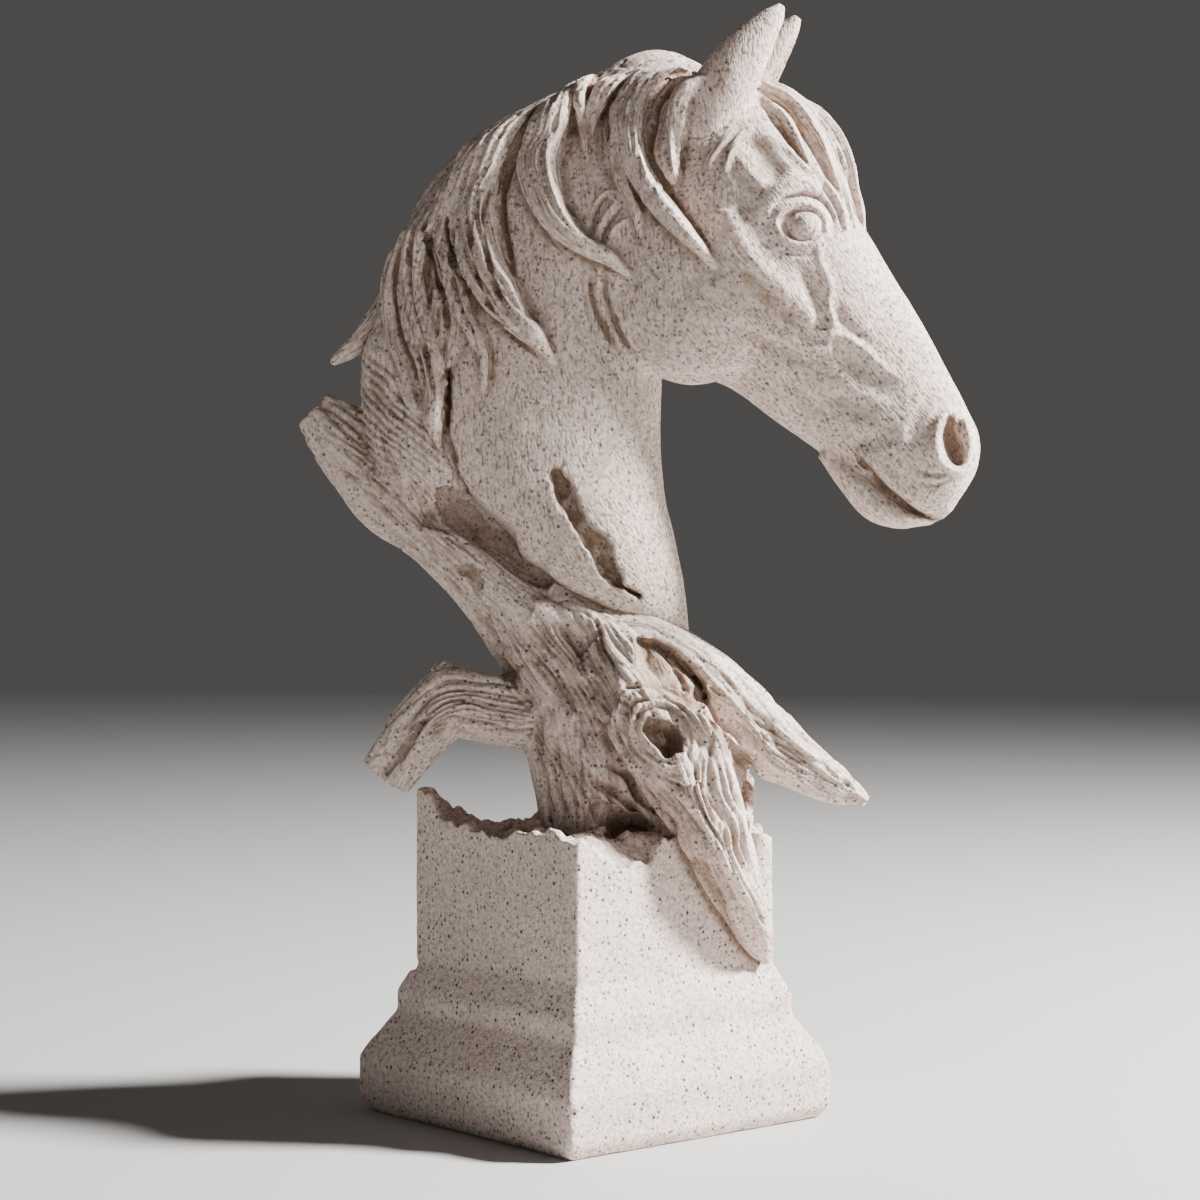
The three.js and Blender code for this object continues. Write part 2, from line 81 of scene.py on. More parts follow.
class Clay:
    """A lump of modelling clay: distances to its surface, in mm, on a grid of voxels."""

    def __init__(self, low, high, voxel):
        self.voxel = voxel
        self.first = np.floor(np.array(low) / voxel).astype(int)
        shape = np.ceil(np.array(high) / voxel).astype(int) - self.first
        self.field = np.full(shape, NOWHERE, dtype=np.float32)
        self.cuts = self.field.copy()

    def stamp(self, body, room):
        """Distances to a closed body, and the block of the grid that it touches."""
        points, quads, triangles = body
        low = np.floor((points.min(axis=0) - room) / self.voxel).astype(int)
        high = np.ceil((points.max(axis=0) + room) / self.voxel).astype(int)
        low = np.clip(low, self.first, self.first + self.field.shape)
        high = np.clip(high, self.first, self.first + self.field.shape)
        grid = vdb.FloatGrid.createLevelSetFromPolygons(
            points.astype(np.float32),
            triangles=triangles.astype(np.uint32),
            quads=quads.astype(np.uint32),
            transform=vdb.createLinearTransform(self.voxel),
            halfWidth=BAND,
        )
        distance = np.empty(high - low, dtype=np.float32)
        grid.copyToArray(distance, ijk=tuple(int(i) for i in low))
        edge = 0.98 * BAND * self.voxel
        distance[distance > edge] = NOWHERE
        distance[distance < -edge] = -NOWHERE
        block = tuple(slice(a - f, b - f) for a, b, f in zip(low, high, self.first))
        return distance, block

    def add(self, body, fillet=0.0):
        distance, block = self.stamp(body, fillet + 2)
        self.field[block] = soft_least(self.field[block], distance, fillet)

    def cut(self, body, fillet=0.0, washed_and_shaded=True):
        distance, block = self.stamp(body, fillet + 2)
        self.field[block] = -soft_least(-self.field[block], distance, fillet)
        # Unless told otherwise, the cut's distances are kept so that its inside is darkened later: partly
        # the brown wash, partly painted shade.
        if washed_and_shaded:
            self.cuts[block] = np.minimum(self.cuts[block], distance)

    def soften(self, times):
        """Rounds every corner a little."""
        shell = np.clip(self.field, -4, 4)
        for _ in range(times):
            for axis in range(3):
                before, after = np.roll(shell, 1, axis), np.roll(shell, -1, axis)
                shell = 0.5 * shell + 0.25 * (before + after)
        self.field = shell

    def in_cut(self, places):
        """1 at places on the inside of a cut, 0 away from all of them."""
        return np.clip(1.1 - self.cuts[self.cells(places)] / 1.3, 0, 1)

    def cells(self, points):
        index = np.round(points / self.voxel).astype(int) - self.first
        return tuple(np.clip(index, 2, np.array(self.field.shape) - 3).T)

    def surface(self, side, flat):
        """The points of the near or far surface at each x, z, and which way they face."""
        places = np.stack([flat[:, 0], np.zeros(len(flat)), flat[:, 1]], axis=1)
        i, _, k = self.cells(places)
        lines = self.field[i, :, k][:, ::-side]
        inner = np.maximum(np.argmax(lines < 0, axis=1), 1)
        rows = np.arange(len(lines))
        before, after = lines[rows, inner - 1], lines[rows, inner]
        depth = inner - 1 + np.clip(before / np.maximum(before - after, 1e-3), 0, 1)
        last = self.field.shape[1] - 1
        j = depth if side == NEAR else last - depth
        j = np.where((lines < 0).any(axis=1), j, -self.first[1])
        places[:, 1] = (j + self.first[1]) * self.voxel
        facing = self.outward(places)
        centre = (np.stack([i, k], axis=1) + self.first[[0, 2]]) * self.voxel
        slope = (facing[:, [0, 2]] * (flat - centre)).sum(axis=1)
        places[:, 1] -= slope / (side * np.maximum(side * facing[:, 1], 0.4))
        return places, facing

    def outward(self, places):
        i, j, k = self.cells(places)
        f = self.field
        slope = [f[i + 2, j, k] - f[i - 2, j, k], f[i, j + 2, k] - f[i, j - 2, k],
                 f[i, j, k + 2] - f[i, j, k - 2]]
        way = np.stack(slope, axis=1)
        return way / np.maximum(np.linalg.norm(way, axis=1), 1e-6)[:, None]


def soft_least(a, b, radius):
    if radius <= 0:
        return np.minimum(a, b)
    share = np.clip(0.5 + 0.5 * (b - a) / radius, 0, 1)
    return b + (a - b) * share - radius * share * (1 - share)


LATTICE = np.random.default_rng(7).uniform(-1, 1, (64, 64, 64)).astype(np.float32)


def noise(places, size, seed=0):
    """Smooth random heights from -1 to 1 at each place, in lumps of that size."""
    at = places / size + 13.7 * seed + 0.31
    cell = np.floor(at).astype(int)
    part = (at - cell).astype(np.float32)
    part = part * part * (3 - 2 * part)
    total = np.zeros(len(places), dtype=np.float32)
    for corner in np.ndindex(2, 2, 2):
        weight = np.prod([part[:, n] if c else 1 - part[:, n] for n, c in enumerate(corner)], axis=0)
        index = (cell + corner) % 64
        total += weight * LATTICE[index[:, 0], index[:, 1], index[:, 2]]
    return total


def select_only(piece):
    bpy.ops.object.select_all(action="DESELECT")
    bpy.context.view_layer.objects.active = piece
    piece.select_set(True)


def taken_as_body():
    """Takes the active object out of the scene, as a closed body in millimetres."""
    shape = bpy.context.object
    shape.data.transform(shape.matrix_basis)
    mesh = shape.data
    mesh.calc_loop_triangles()
    points = np.empty(len(mesh.vertices) * 3)
    mesh.vertices.foreach_get("co", points)
    triangles = np.empty(len(mesh.loop_triangles) * 3, dtype=int)
    mesh.loop_triangles.foreach_get("vertices", triangles)
    bpy.data.objects.remove(shape)
    return points.reshape(-1, 3) / MM, np.zeros((0, 4), dtype=int), triangles.reshape(-1, 3)


BASE_WIDTH = 120
NECKING_WIDTH = 101
DIE_WIDTH = 91
MOULDING = [
    (BASE_WIDTH, 4.5), (BASE_WIDTH, 20), (BASE_WIDTH - 4, 24), (NECKING_WIDTH, 36.5),
    (NECKING_WIDTH, 43.5), (DIE_WIDTH, 54.5), (DIE_WIDTH, 125),
]
FOOT_WIDTH = BASE_WIDTH - 6
bpy.ops.object.select_all(action="DESELECT")
bpy.ops.mesh.primitive_plane_add(size=FOOT_WIDTH * MM, location=(0, 0, 0))
bpy.ops.object.mode_set(mode="EDIT")
width, height = FOOT_WIDTH, 0
for next_width, next_height in MOULDING:
    rise = (0, 0, (next_height - height) * MM)
    bpy.ops.mesh.extrude_region_move(TRANSFORM_OT_translate={"value": rise})
    bpy.ops.transform.resize(value=(next_width / width, next_width / width, 1))
    width, height = next_width, next_height
bpy.ops.mesh.select_all(action="SELECT")
bpy.ops.transform.rotate(value=math.pi / 4, orient_axis="Z", center_override=(0, 0, 0))
bpy.ops.object.mode_set(mode="OBJECT")
plinth = Clay((-88, -88, -3), (88, 88, 122), voxel=0.8)
plinth.add(taken_as_body())
plinth.soften(2)

BROKEN_TOP = 104.0


def bump(x, y, at, across, height):
    return height * np.exp(-((x - at[0]) ** 2 + (y - at[1]) ** 2) / across**2)


def broken_height(x, y):
    """Height of the break: a spike at the left corner, a bite under the root, a hollow inside."""
    flat = np.stack([x, y, np.zeros_like(x)], axis=1)
    crumble = 2.2 * noise(flat, 8.0, 1) + 3.0 * np.abs(noise(flat, 4.2, 2)) + 0.9 * noise(flat, 1.9, 3) - 1
    lie = bump(x, y, (-62, 0), 13, 11) + bump(x, y, (2, -64), 10, -2) + bump(x, y, (62, 0), 16, -3)
    bite = bump(x, y, (14, -50), 8, -10) + bump(x, y, (22, -42), 6, -6)
    return BROKEN_TOP + crumble + lie + bite + bump(x, y, (0, 0), 34, -7)


columns = [(np.arange(n) + f) * plinth.voxel for n, f in zip(plinth.field.shape, plinth.first)]
grid_x, grid_y = np.meshgrid(columns[0], columns[1], indexing="ij")
break_z = broken_height(grid_x.ravel(), grid_y.ravel()).reshape(grid_x.shape)
plinth.field = np.maximum(plinth.field, 0.8 * (columns[2][None, None, :] - break_z[:, :, None]))


def ball(centre, radii, turn=(0, 0, 0)):
    """A closed egg shape, turned about x, y and z in turn."""
    bpy.ops.object.select_all(action="DESELECT")
    bpy.ops.mesh.primitive_ico_sphere_add(subdivisions=4, radius=MM, rotation=turn)
    bpy.context.object.scale = radii
    bpy.context.object.location = [c * MM for c in centre]
    return taken_as_body()


chance = np.random.default_rng(21)
for _ in range(60):
    spot = (chance.uniform(-46, 6), chance.uniform(-38, 22), chance.uniform(97, 103))
    if abs(spot[0]) + abs(spot[1]) > 50:
        continue
    bpy.ops.object.select_all(action="DESELECT")
    bpy.ops.mesh.primitive_ico_sphere_add(
        subdivisions=1, radius=MM, location=np.array(spot) * MM, rotation=chance.uniform(0, 3, 3)
    )
    bpy.context.object.scale = chance.uniform(1.8, 5, 3)
    plinth.add(taken_as_body(), fillet=0.4)
for chip, size in (((62, -2.5, 68), 2.6), ((-64, 0, 52), 1.8), ((0.5, -85, 16), 1.5), ((84, 1, 21), 2)):
    plinth.cut(ball(chip, (size, size, 1.4 * size)), fillet=1.2)


def piece_of(clay, name):
    """The clay's surface as a Blender object in metres."""
    reach = 3 * clay.voxel
    grid = vdb.FloatGrid(reach)
    shell = np.clip(clay.field, -reach, reach)
    grid.copyFromArray(shell, ijk=tuple(int(i) for i in clay.first), tolerance=0.0)
    grid.transform = vdb.createLinearTransform(clay.voxel)
    points, _, quads = grid.convertToPolygons(0.0, 0.0)
    mesh = bpy.data.meshes.new(name)
    mesh.vertices.add(len(points))
    mesh.vertices.foreach_set("co", (points * MM).ravel().astype(np.float32))
    corners = quads.ravel()
    mesh.loops.add(len(corners))
    mesh.loops.foreach_set("vertex_index", corners.astype(np.int32))
    mesh.polygons.add(len(quads))
    mesh.polygons.foreach_set("loop_start", np.arange(0, len(corners), 4, dtype=np.int32))
    mesh.update(calc_edges=True)
    mesh.validate()
    piece = bpy.data.objects.new(name, mesh)
    bpy.context.collection.objects.link(piece)
    drop_crumbs(piece)
    return piece


def vectors(piece, kind):
    found = np.empty(len(piece.data.vertices) * 3, dtype=np.float32)
    piece.data.vertices.foreach_get(kind, found)
    return found.reshape(-1, 3)


def drop_crumbs(piece):
    """Deletes what doesn't hang together with the piece's lowest point."""
    select_only(piece)
    lowest = int(np.argmin(vectors(piece, "co")[:, 2]))
    bpy.ops.object.mode_set(mode="EDIT")
    bpy.ops.mesh.select_mode(type="VERT")
    bpy.ops.mesh.select_all(action="DESELECT")
    bpy.ops.object.mode_set(mode="OBJECT")
    piece.data.vertices[lowest].select = True
    bpy.ops.object.mode_set(mode="EDIT")
    bpy.ops.mesh.select_linked()
    bpy.ops.mesh.select_all(action="INVERT")
    bpy.ops.mesh.delete(type="VERT")
    bpy.ops.object.mode_set(mode="OBJECT")


def carve(piece, heights):
    """Moves each vertex out along its normal by so many millimetres."""
    moved = vectors(piece, "co") + vectors(piece, "normal") * (heights * MM)[:, None]
    piece.data.vertices.foreach_set("co", moved.astype(np.float32).ravel())
    piece.data.update()


def part_of_casting(piece):
    """Fixes a piece to the casting, which stands for one solid of one material."""
    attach(piece, "root")
    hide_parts("horse_head_sculpture")


plinth_piece = piece_of(plinth, "broken_plinth")
places = vectors(plinth_piece, "co") / MM
PLINTH_SWELL, PLINTH_GRIT = 0.22, 0.12
carve(plinth_piece, PLINTH_SWELL * noise(places, 14.0, 4) + PLINTH_GRIT * noise(places, 4.0, 5))
part_of_casting(plinth_piece)

# Driftwood
# A weathered stump with its snag, limbs and roots, cast with the plinth that it grips. Each limb
# is a row of sections [x, y, z, half across, half through] down its length.
LATERAL = np.array([0.0, 1.0, 0.0])


def through(rows, steps):
    """A smooth curve through the rows, column by column."""
    rows = np.array(rows, dtype=float)
    padded = np.vstack([2 * rows[0] - rows[1], rows, 2 * rows[-1] - rows[-2]])
    at = np.linspace(0, len(rows) - 1, steps)
    i = np.minimum(at.astype(int), len(rows) - 2)
    t = (at - i)[:, None]
    p0, p1, p2, p3 = (padded[i + k] for k in range(4))
    bend = (2 * p0 - 5 * p1 + 4 * p2 - p3) * t**2 + (3 * p1 - p0 - 3 * p2 + p3) * t**3
    return 0.5 * (2 * p1 + (p2 - p0) * t + bend)


def skinned(rings):
    """A closed body over rings of points, each ring running the same way round."""
    count, sides, _ = rings.shape
    points = np.vstack([rings.reshape(-1, 3), rings[0].mean(axis=0), rings[-1].mean(axis=0)])
    index = np.arange(count * sides).reshape(count, sides)
    after = np.roll(index, -1, axis=1)
    quads = np.stack([index[:-1], after[:-1], after[1:], index[1:]], axis=-1).reshape(-1, 4)
    start = np.full(sides, count * sides)
    end = start + 1
    caps = [np.stack([start, after[0], index[0]], -1), np.stack([end, index[-1], after[-1]], -1)]
    return points, quads, np.vstack(caps)


def unit(vectors):
    return vectors / np.maximum(np.linalg.norm(vectors, axis=-1, keepdims=True), 1e-9)


class Run:
    """A limb or a lock: its body, and the way its fibres run."""

    def __init__(self, centre, deep, half_across, half_deep, body):
        self.centre = centre
        self.ahead = unit(np.gradient(centre, axis=0))
        self.across = unit(np.cross(deep, self.ahead))
        self.deep = np.cross(self.ahead, self.across)
        self.half_across, self.half_deep = half_across, half_deep
        steps = np.linalg.norm(np.diff(centre, axis=0), axis=1)
        self.along = np.concatenate([[0], np.cumsum(steps)])
        self.body = body


def limb(rows, flutes=0, groove=0.0, twist=0.0, sides=40, spacing=1.6):
    """A limb with grooves along it, each as deep as that share of its radius."""
    rows = np.array(rows, dtype=float)
    length = np.linalg.norm(np.diff(rows[:, :3], axis=0), axis=1).sum()
    at = through(rows, max(6, int(length / spacing)))
    ahead = unit(np.gradient(at[:, :3], axis=0))
    across = unit(np.cross(LATERAL, ahead))
    deep = np.cross(ahead, across)
    turn = np.linspace(0, 2 * math.pi, sides, endpoint=False)[None, :]
    share = np.linspace(0, 1, len(at))[:, None]
    fluted = 1 - groove * (0.5 + 0.5 * np.cos(flutes * (turn + twist * share)))
    side = (np.sin(turn) * fluted * at[:, 3, None])[..., None] * across[:, None, :]
    front = (np.cos(turn) * fluted * at[:, 4, None])[..., None] * deep[:, None, :]
    return Run(at[:, :3], deep, at[:, 3], at[:, 4], skinned(at[:, None, :3] + side + front))


LOG = [
    [-101, 1, 252, 8, 7], [-88, 1, 240, 15, 10], [-70, 2, 226, 21, 14], [-50, 2, 208, 18, 17],
    [-30, 2, 189, 20, 20], [-12, 0, 170, 26, 22], [4, -2, 148, 28, 24],
]
BARK = [
    [-71, -2, 290, 6, 9], [-70, -3, 270, 14, 14], [-66, -4, 250, 18, 16], [-60, -4, 234, 18, 18],
    [-54, -2, 220, 13, 15],
]
STUMP = [[0, 0, 160, 26, 22], [2, -2, 138, 28, 24], [4, -3, 115, 26, 26], [6, -4, 92, 24, 26]]
ROOT = [
    [6, -12, 166, 14, 14], [23, -24, 144, 19, 15], [37, -31, 120, 17, 13], [46, -28, 98, 13, 11],
    [53, -19, 80, 10, 9], [58, -12, 66, 7, 6.5], [62, -6, 56, 3, 3],
]
FAR_ROOT = [
    [0, 8, 164, 15, 14], [-3, 19, 144, 16, 13], [-8, 29, 125, 14, 11], [-14, 36, 109, 10, 8],
    [-18, 40, 96, 5, 5],
]
RIGHT_LIMB = [
    [2, -6, 172, 12, 14], [22, -9, 167, 12, 13], [41, -11, 152, 15, 13], [57, -12, 137, 15, 11],
    [72, -12, 127, 10.5, 9], [86, -10, 118.5, 7, 6], [97, -9, 112.5, 2.5, 3],
]
LEFT_BRANCH = [
    [2, 0, 150, 18, 18], [-22, -3, 143, 15, 15], [-38, -6, 145, 14, 13], [-51, -7, 146, 13.5, 12],
    [-63, -8, 134, 11, 10], [-72, -8, 118, 7, 7],
]
BRANCH_SPUR = [[-56, -8, 148, 7, 6], [-69, -10, 137, 5, 5], [-80, -11, 124, 2.5, 3]]
BRANCH_STUB = [[-50, -6, 148, 7, 7], [-53, -7, 157, 5, 6], [-51, -7, 161, 3, 4]]
wood_runs = [
    limb(LOG, flutes=5, groove=0.14, twist=0.6),
    limb(BARK, flutes=4, groove=0.1),
    limb(STUMP, flutes=7, groove=0.1),
    limb(ROOT, flutes=5, groove=0.14, twist=0.8),
    limb(FAR_ROOT, flutes=4, groove=0.12, twist=0.6),
    limb(RIGHT_LIMB, flutes=4, groove=0.12, twist=0.5),
    limb(LEFT_BRANCH, flutes=4, groove=0.13, twist=0.7),
    limb(BRANCH_SPUR),
    limb(BRANCH_STUB),
]
wood = Clay((-110, -52, 48), (104, 52, 306), voxel=0.65)
for run in wood_runs:
    wood.add(run.body, fillet=3)


def laid(clay, side, rows, sink=0.0):
    """Rows [x, z, half across, half through] laid on the clay's near or far side."""
    rows = np.array(rows, dtype=float)
    points, facing = clay.surface(side, rows[:, :2])
    return np.hstack([points - sink * facing, rows[:, 2:]])


def sunk(clay, edges, depth):
    """The hollow between two edges [x, z, x, z] on the near side, to that depth under it."""
    rows = through(edges, 6 * len(edges))
    u = np.linspace(0, 1, 9)
    flat = rows[:, None, :2] * (1 - u)[None, :, None] + rows[:, None, 2:4] * u[None, :, None]
    on = clay.surface(NEAR, flat.reshape(-1, 2))[0].reshape(len(rows), -1, 3)
    depths = depth * (1 - np.abs(2 * u - 1) ** 4)
    floor = on + LATERAL * depths[None, :, None]
    return skinned(np.concatenate([on - 9 * LATERAL, floor[:, ::-1]], axis=1))


LOG_RIDGE = [
    [-60, 209, 3, 4], [-46, 201, 5, 5], [-35, 192, 6, 5], [-24, 182, 6, 5], [-12, 170, 5, 4],
    [-2, 156, 3, 3],
]
UPPER_WOOD = [[-20, 180, 4, 4], [-8, 178, 6, 5], [6, 172, 6, 5], [18, 166, 5, 4], [28, 158, 3, 3]]
ROOT_RIDGE = [
    [38, 122, 4, 4], [47, 100, 4, 5], [52, 89, 4, 5], [57, 79, 4, 4], [60, 69, 3, 3], [61, 60, 2, 2],
]
ROOT_SHOULDER = [[30, 152, 3, 3], [44, 139, 4, 5], [50, 129, 4, 5], [54, 118, 3, 4], [56, 106, 3, 3]]
LIMB_RIDGE = [
    [41, 153, 2, 3], [47, 150, 4, 4], [52, 146, 4, 4], [58, 138, 3, 4], [66, 127, 3, 3],
    [76, 121, 2, 2],
]
SLIVER = [[12, 153, 0.8, 2], [11, 147, 2.5, 3], [10, 141, 4, 4], [13, 133, 4, 3], [19, 126, 2, 2]]
for rows in (LOG_RIDGE, UPPER_WOOD, ROOT_RIDGE, ROOT_SHOULDER, LIMB_RIDGE, SLIVER):
    wood.add(limb(laid(wood, NEAR, rows, sink=1.5)).body, fillet=2.5)

KNOT_RING = [
    (17, 140), (18, 146), (24, 149), (31, 147), (36, 141), (37, 134), (34, 128), (29, 127), (22, 131),
]
KNOT_HOLE = [[21, 141, 2, 5], [25, 139, 4, 7], [29, 136, 4.5, 9], [31, 131, 3, 6]]
KNOT_HEART = [[25, 138.5, 1.2, 2], [27, 136, 2, 3], [28.5, 133, 1.5, 2.2]]
ring = [[x, z, 1.1, 1.2] for x, z in KNOT_RING + KNOT_RING[:2]]
wood.add(limb(laid(wood, NEAR, ring, sink=0.8)).body, fillet=3)
wood.cut(limb(laid(wood, NEAR, KNOT_HOLE)).body, fillet=1)
wood.add(limb(laid(wood, NEAR, KNOT_HEART, sink=0.6)).body, fillet=1.5)
LIMB_HOLLOW = [
    (17, 170, 18, 170.5), (17, 162.5, 26, 168), (20.5, 156, 32, 163.5), (26.5, 152, 37.5, 158),
    (33, 148.5, 41.5, 151.5), (39, 146, 41.5, 147.5),
]
CAVITY = [[2, 112, 2, 3], [9, 107, 5, 6], [16, 101, 6, 8], [23, 97, 5, 6], [29, 95, 2, 3]]
UNDER_NECK = [
    [-52, 222, 2, 3], [-48, 216, 6, 7], [-40, 210, 7, 8], [-31, 203, 6, 7], [-22, 194, 4, 5],
    [-14, 189, 2, 2],
]
NOTCH = [[-48, 194, 1, 2], [-42, 192, 3, 3], [-39, 187, 2, 2]]
LIMB_VALLEY = [[44, 143, 1, 2], [50, 134, 2, 4], [55, 125, 2.5, 5], [58, 119, 1.5, 4]]
BRANCH_CREASE = [[-57, 142, 0.6, 1], [-62, 136.5, 0.8, 1.4], [-67, 129, 0.9, 1.7], [-73, 122, 1, 1.8]]
wood.cut(sunk(wood, LIMB_HOLLOW, 8), fillet=1)
for rows in (CAVITY, UNDER_NECK, NOTCH, LIMB_VALLEY, BRANCH_CREASE):
    wood.cut(limb(laid(wood, NEAR, rows)).body, fillet=1.2)


def fibres(places, runs):
    """Where each place lies in the fibres of the nearest run: across, through and along it."""
    best = np.full(len(places), 1e9, dtype=np.float32)
    found = np.zeros((len(places), 3), dtype=np.float32)
    for number, run in enumerate(runs):
        low = run.centre.min(axis=0) - 1.6 * run.half_across.max()
        high = run.centre.max(axis=0) + 1.6 * run.half_across.max()
        near = np.flatnonzero(((places > low) & (places < high)).all(axis=1))
        spots = places[near]
        gaps = np.stack([((spots - c) ** 2).sum(axis=1) for c in run.centre[::2]], axis=1)
        nearest = np.argmin(gaps, axis=1) * 2
        off = spots - run.centre[nearest]
        across = (off * run.across[nearest]).sum(axis=1)
        deep = (off * run.deep[nearest]).sum(axis=1)
        along = run.along[nearest] + (off * run.ahead[nearest]).sum(axis=1)
        beyond = np.maximum(0, np.maximum(-along, along - run.along[-1]))
        reach = np.hypot(across / run.half_across[nearest], deep / run.half_deep[nearest])
        reach += beyond / run.half_across[nearest]
        closer = reach < best[near]
        chosen = near[closer]
        best[chosen] = reach[closer]
        found[chosen] = np.stack([across, deep, along + 90 * number], axis=1)[closer]
    return found, best


def line_at(flat, line):
    """Each flat place's distance to a curve, and how far along it that is, from 0 to 1."""
    points = through(line, 6 * len(line))
    starts, ends = points[:-1], points[1:]
    way = ends - starts
    length = np.maximum((way**2).sum(axis=1), 1e-9)
    t = ((flat[:, None, :] - starts) * way).sum(axis=2) / length
    foot = starts + np.clip(t, 0, 1)[..., None] * way
    gap = np.linalg.norm(flat[:, None, :] - foot, axis=2)
    nearest = gap.argmin(axis=1)
    rows = np.arange(len(flat))
    share = (nearest + np.clip(t[rows, nearest], 0, 1)) / len(starts)
    return gap[rows, nearest], share


def tooled(places, normals, side, strokes):
    """Heights left by a modelling tool's strokes (line, half-width, height) on one side."""
    facing = np.clip((side * normals[:, 1] + 0.1) / 0.35, 0, 1)
    raised = np.zeros(len(places))
    sunk = np.zeros(len(places))
    flat = places[:, [0, 2]]
    for line, half, height in strokes:
        low, high = np.min(line, axis=0) - half, np.max(line, axis=0) + half
        close = ((flat > low) & (flat < high)).all(axis=1) & (facing > 0)
        close = np.flatnonzero(close)
        gap, share = line_at(flat[close], line)
        fade = np.clip(4 * np.minimum(share, 1 - share) + 0.1, 0, 1)
        tool = np.clip(1 - (gap / half) ** 2, 0, 1) ** 1.5 * fade * facing[close] * height
        if height > 0:
            raised[close] = np.maximum(raised[close], tool)
        else:
            sunk[close] = np.minimum(sunk[close], tool)
    return raised + sunk


def between(first, last, count):
    """Curves spread evenly from the first one to the last."""
    a, b = through(first, 7), through(last, 7)
    return [a + (b - a) * k / (count - 1) for k in range(count)]


FAN_LEFT = [(-33, 178), (-24, 168), (-14, 155), (-6, 143), (0, 132), (6, 122)]
FAN_MIDDLE = [(-18, 178), (-10, 167), (-3, 156), (3, 146), (7, 138)]
FAN_RIGHT = [(2, 178), (5, 169), (8, 161), (10, 154), (12, 148)]
LOG_TOP = [(-88, 250), (-72, 234), (-60, 220), (-50, 206), (-38, 196)]
LOG_LOW = [(-94, 236), (-80, 222), (-64, 206), (-50, 190), (-36, 170)]
STUMP_A = [(-30, 146), (-22, 136), (-17, 126), (-14, 116), (-12, 106)]
STUMP_B = [(-8, 133), (-2, 125), (5, 119), (13, 114), (19, 107)]
KNOT_LEFT = [(18, 156), (13, 146), (12, 136), (18, 127), (27, 117), (36, 104), (44, 88), (50, 72)]
KNOT_RIGHT = [(24, 155), (34, 153), (42, 146), (45, 136), (43, 126), (46, 114), (52, 102), (57, 88)]
LOG_MID_START = [(-52, 196), (-42, 186), (-32, 174), (-22, 160), (-14, 146)]
LOG_MID_END = [(-40, 172), (-34, 162), (-28, 153), (-22, 146), (-16, 140)]
ROOT_NEAR_A = [(6, 128), (14, 122), (20, 113), (28, 107), (36, 96), (44, 80), (50, 66)]
ROOT_NEAR_B = [(20, 126), (28, 118), (36, 110), (42, 100), (48, 88), (53, 76), (57, 64)]
ROOT_RIGHT_A = [(39, 130), (38, 121), (42, 111), (48, 100), (54, 88)]
ROOT_RIGHT_B = [(47, 134), (51, 122), (55, 110), (58, 98), (61, 84)]
LIMB_A = [(46, 157), (56, 147), (68, 135), (82, 125), (94, 115)]
LIMB_B = [(50, 142), (58, 134), (66, 126), (78, 119), (90, 114)]
BRANCH_A = [(-12, 146), (-26, 150), (-40, 152), (-54, 151), (-64, 141), (-74, 127)]
BRANCH_B = [(-14, 132), (-26, 137), (-38, 138), (-50, 138), (-60, 130), (-68, 117)]
BARK_A = [(-82, 272), (-74, 266), (-66, 258), (-58, 250), (-50, 243)]
BARK_B = [(-98, 244), (-86, 236), (-74, 227), (-62, 218), (-51, 209)]
wood_strokes = []
for first, last, count, half, depth in (
    (FAN_LEFT, FAN_MIDDLE, 6, 1.1, -1.7), (FAN_MIDDLE, FAN_RIGHT, 7, 1.2, -1.8),
    (LOG_TOP, LOG_LOW, 8, 1.1, -1.5), (LOG_MID_START, LOG_MID_END, 6, 1.1, -1.5),
    (ROOT_NEAR_A, ROOT_NEAR_B, 6, 1.2, -1.8), (ROOT_RIGHT_A, ROOT_RIGHT_B, 5, 1.2, -1.8),
    (LIMB_A, LIMB_B, 6, 1.1, -1.5), (BRANCH_A, BRANCH_B, 8, 1.1, -1.4),
    (BARK_A, BARK_B, 12, 0.9, -1.3), (STUMP_A, STUMP_B, 7, 1.2, -1.7),
):
    wood_strokes += [(line, half, depth) for line in between(first, last, count)]
DEEP_A = [(6, 128), (14, 122), (20, 113), (28, 107), (33, 101)]
DEEP_B = [(-2, 125), (5, 119), (13, 114), (19, 107), (25, 102)]
SLIVER_LEFT = [(12, 154), (8, 146), (5, 139), (9, 131), (16, 124)]
SLIVER_RIGHT = [(13, 152), (15, 145), (14, 138), (18, 130)]
KNOT_CENTRE, KNOT_AXIS, KNOT_CROSS = (27, 137), (0.64, -0.77), (0.77, 0.64)


def knot_fold(long, short):
    """An oval groove round the knot, longest down the root."""
    turn = np.linspace(0, 2 * math.pi, 13)[:, None]
    return KNOT_CENTRE + long * np.cos(turn) * KNOT_AXIS + short * np.sin(turn) * KNOT_CROSS


RING_GROOVES = [
    knot_fold(10.5, 8), knot_fold(15, 11), knot_fold(21, 14),
    [(15, 136), (20, 128), (27, 122), (34, 119), (40, 112)], KNOT_LEFT, KNOT_RIGHT,
]
wood_strokes += [(DEEP_A, 2.2, -3.2), (DEEP_B, 2.2, -2.8), (SLIVER_LEFT, 1.6, -2.4)]
wood_strokes += [(SLIVER_RIGHT, 1.2, -1.6)] + [(line, 1.3, -1.8) for line in RING_GROOVES]


def keep(piece, name, values):
    """Keeps a number or a vector for each vertex, for the finish to read."""
    kind = "FLOAT" if values.ndim == 1 else "FLOAT_VECTOR"
    field = "value" if values.ndim == 1 else "vector"
    layer = piece.data.attributes.new(name, kind, "POINT")
    layer.data.foreach_set(field, values.astype(np.float32).ravel())


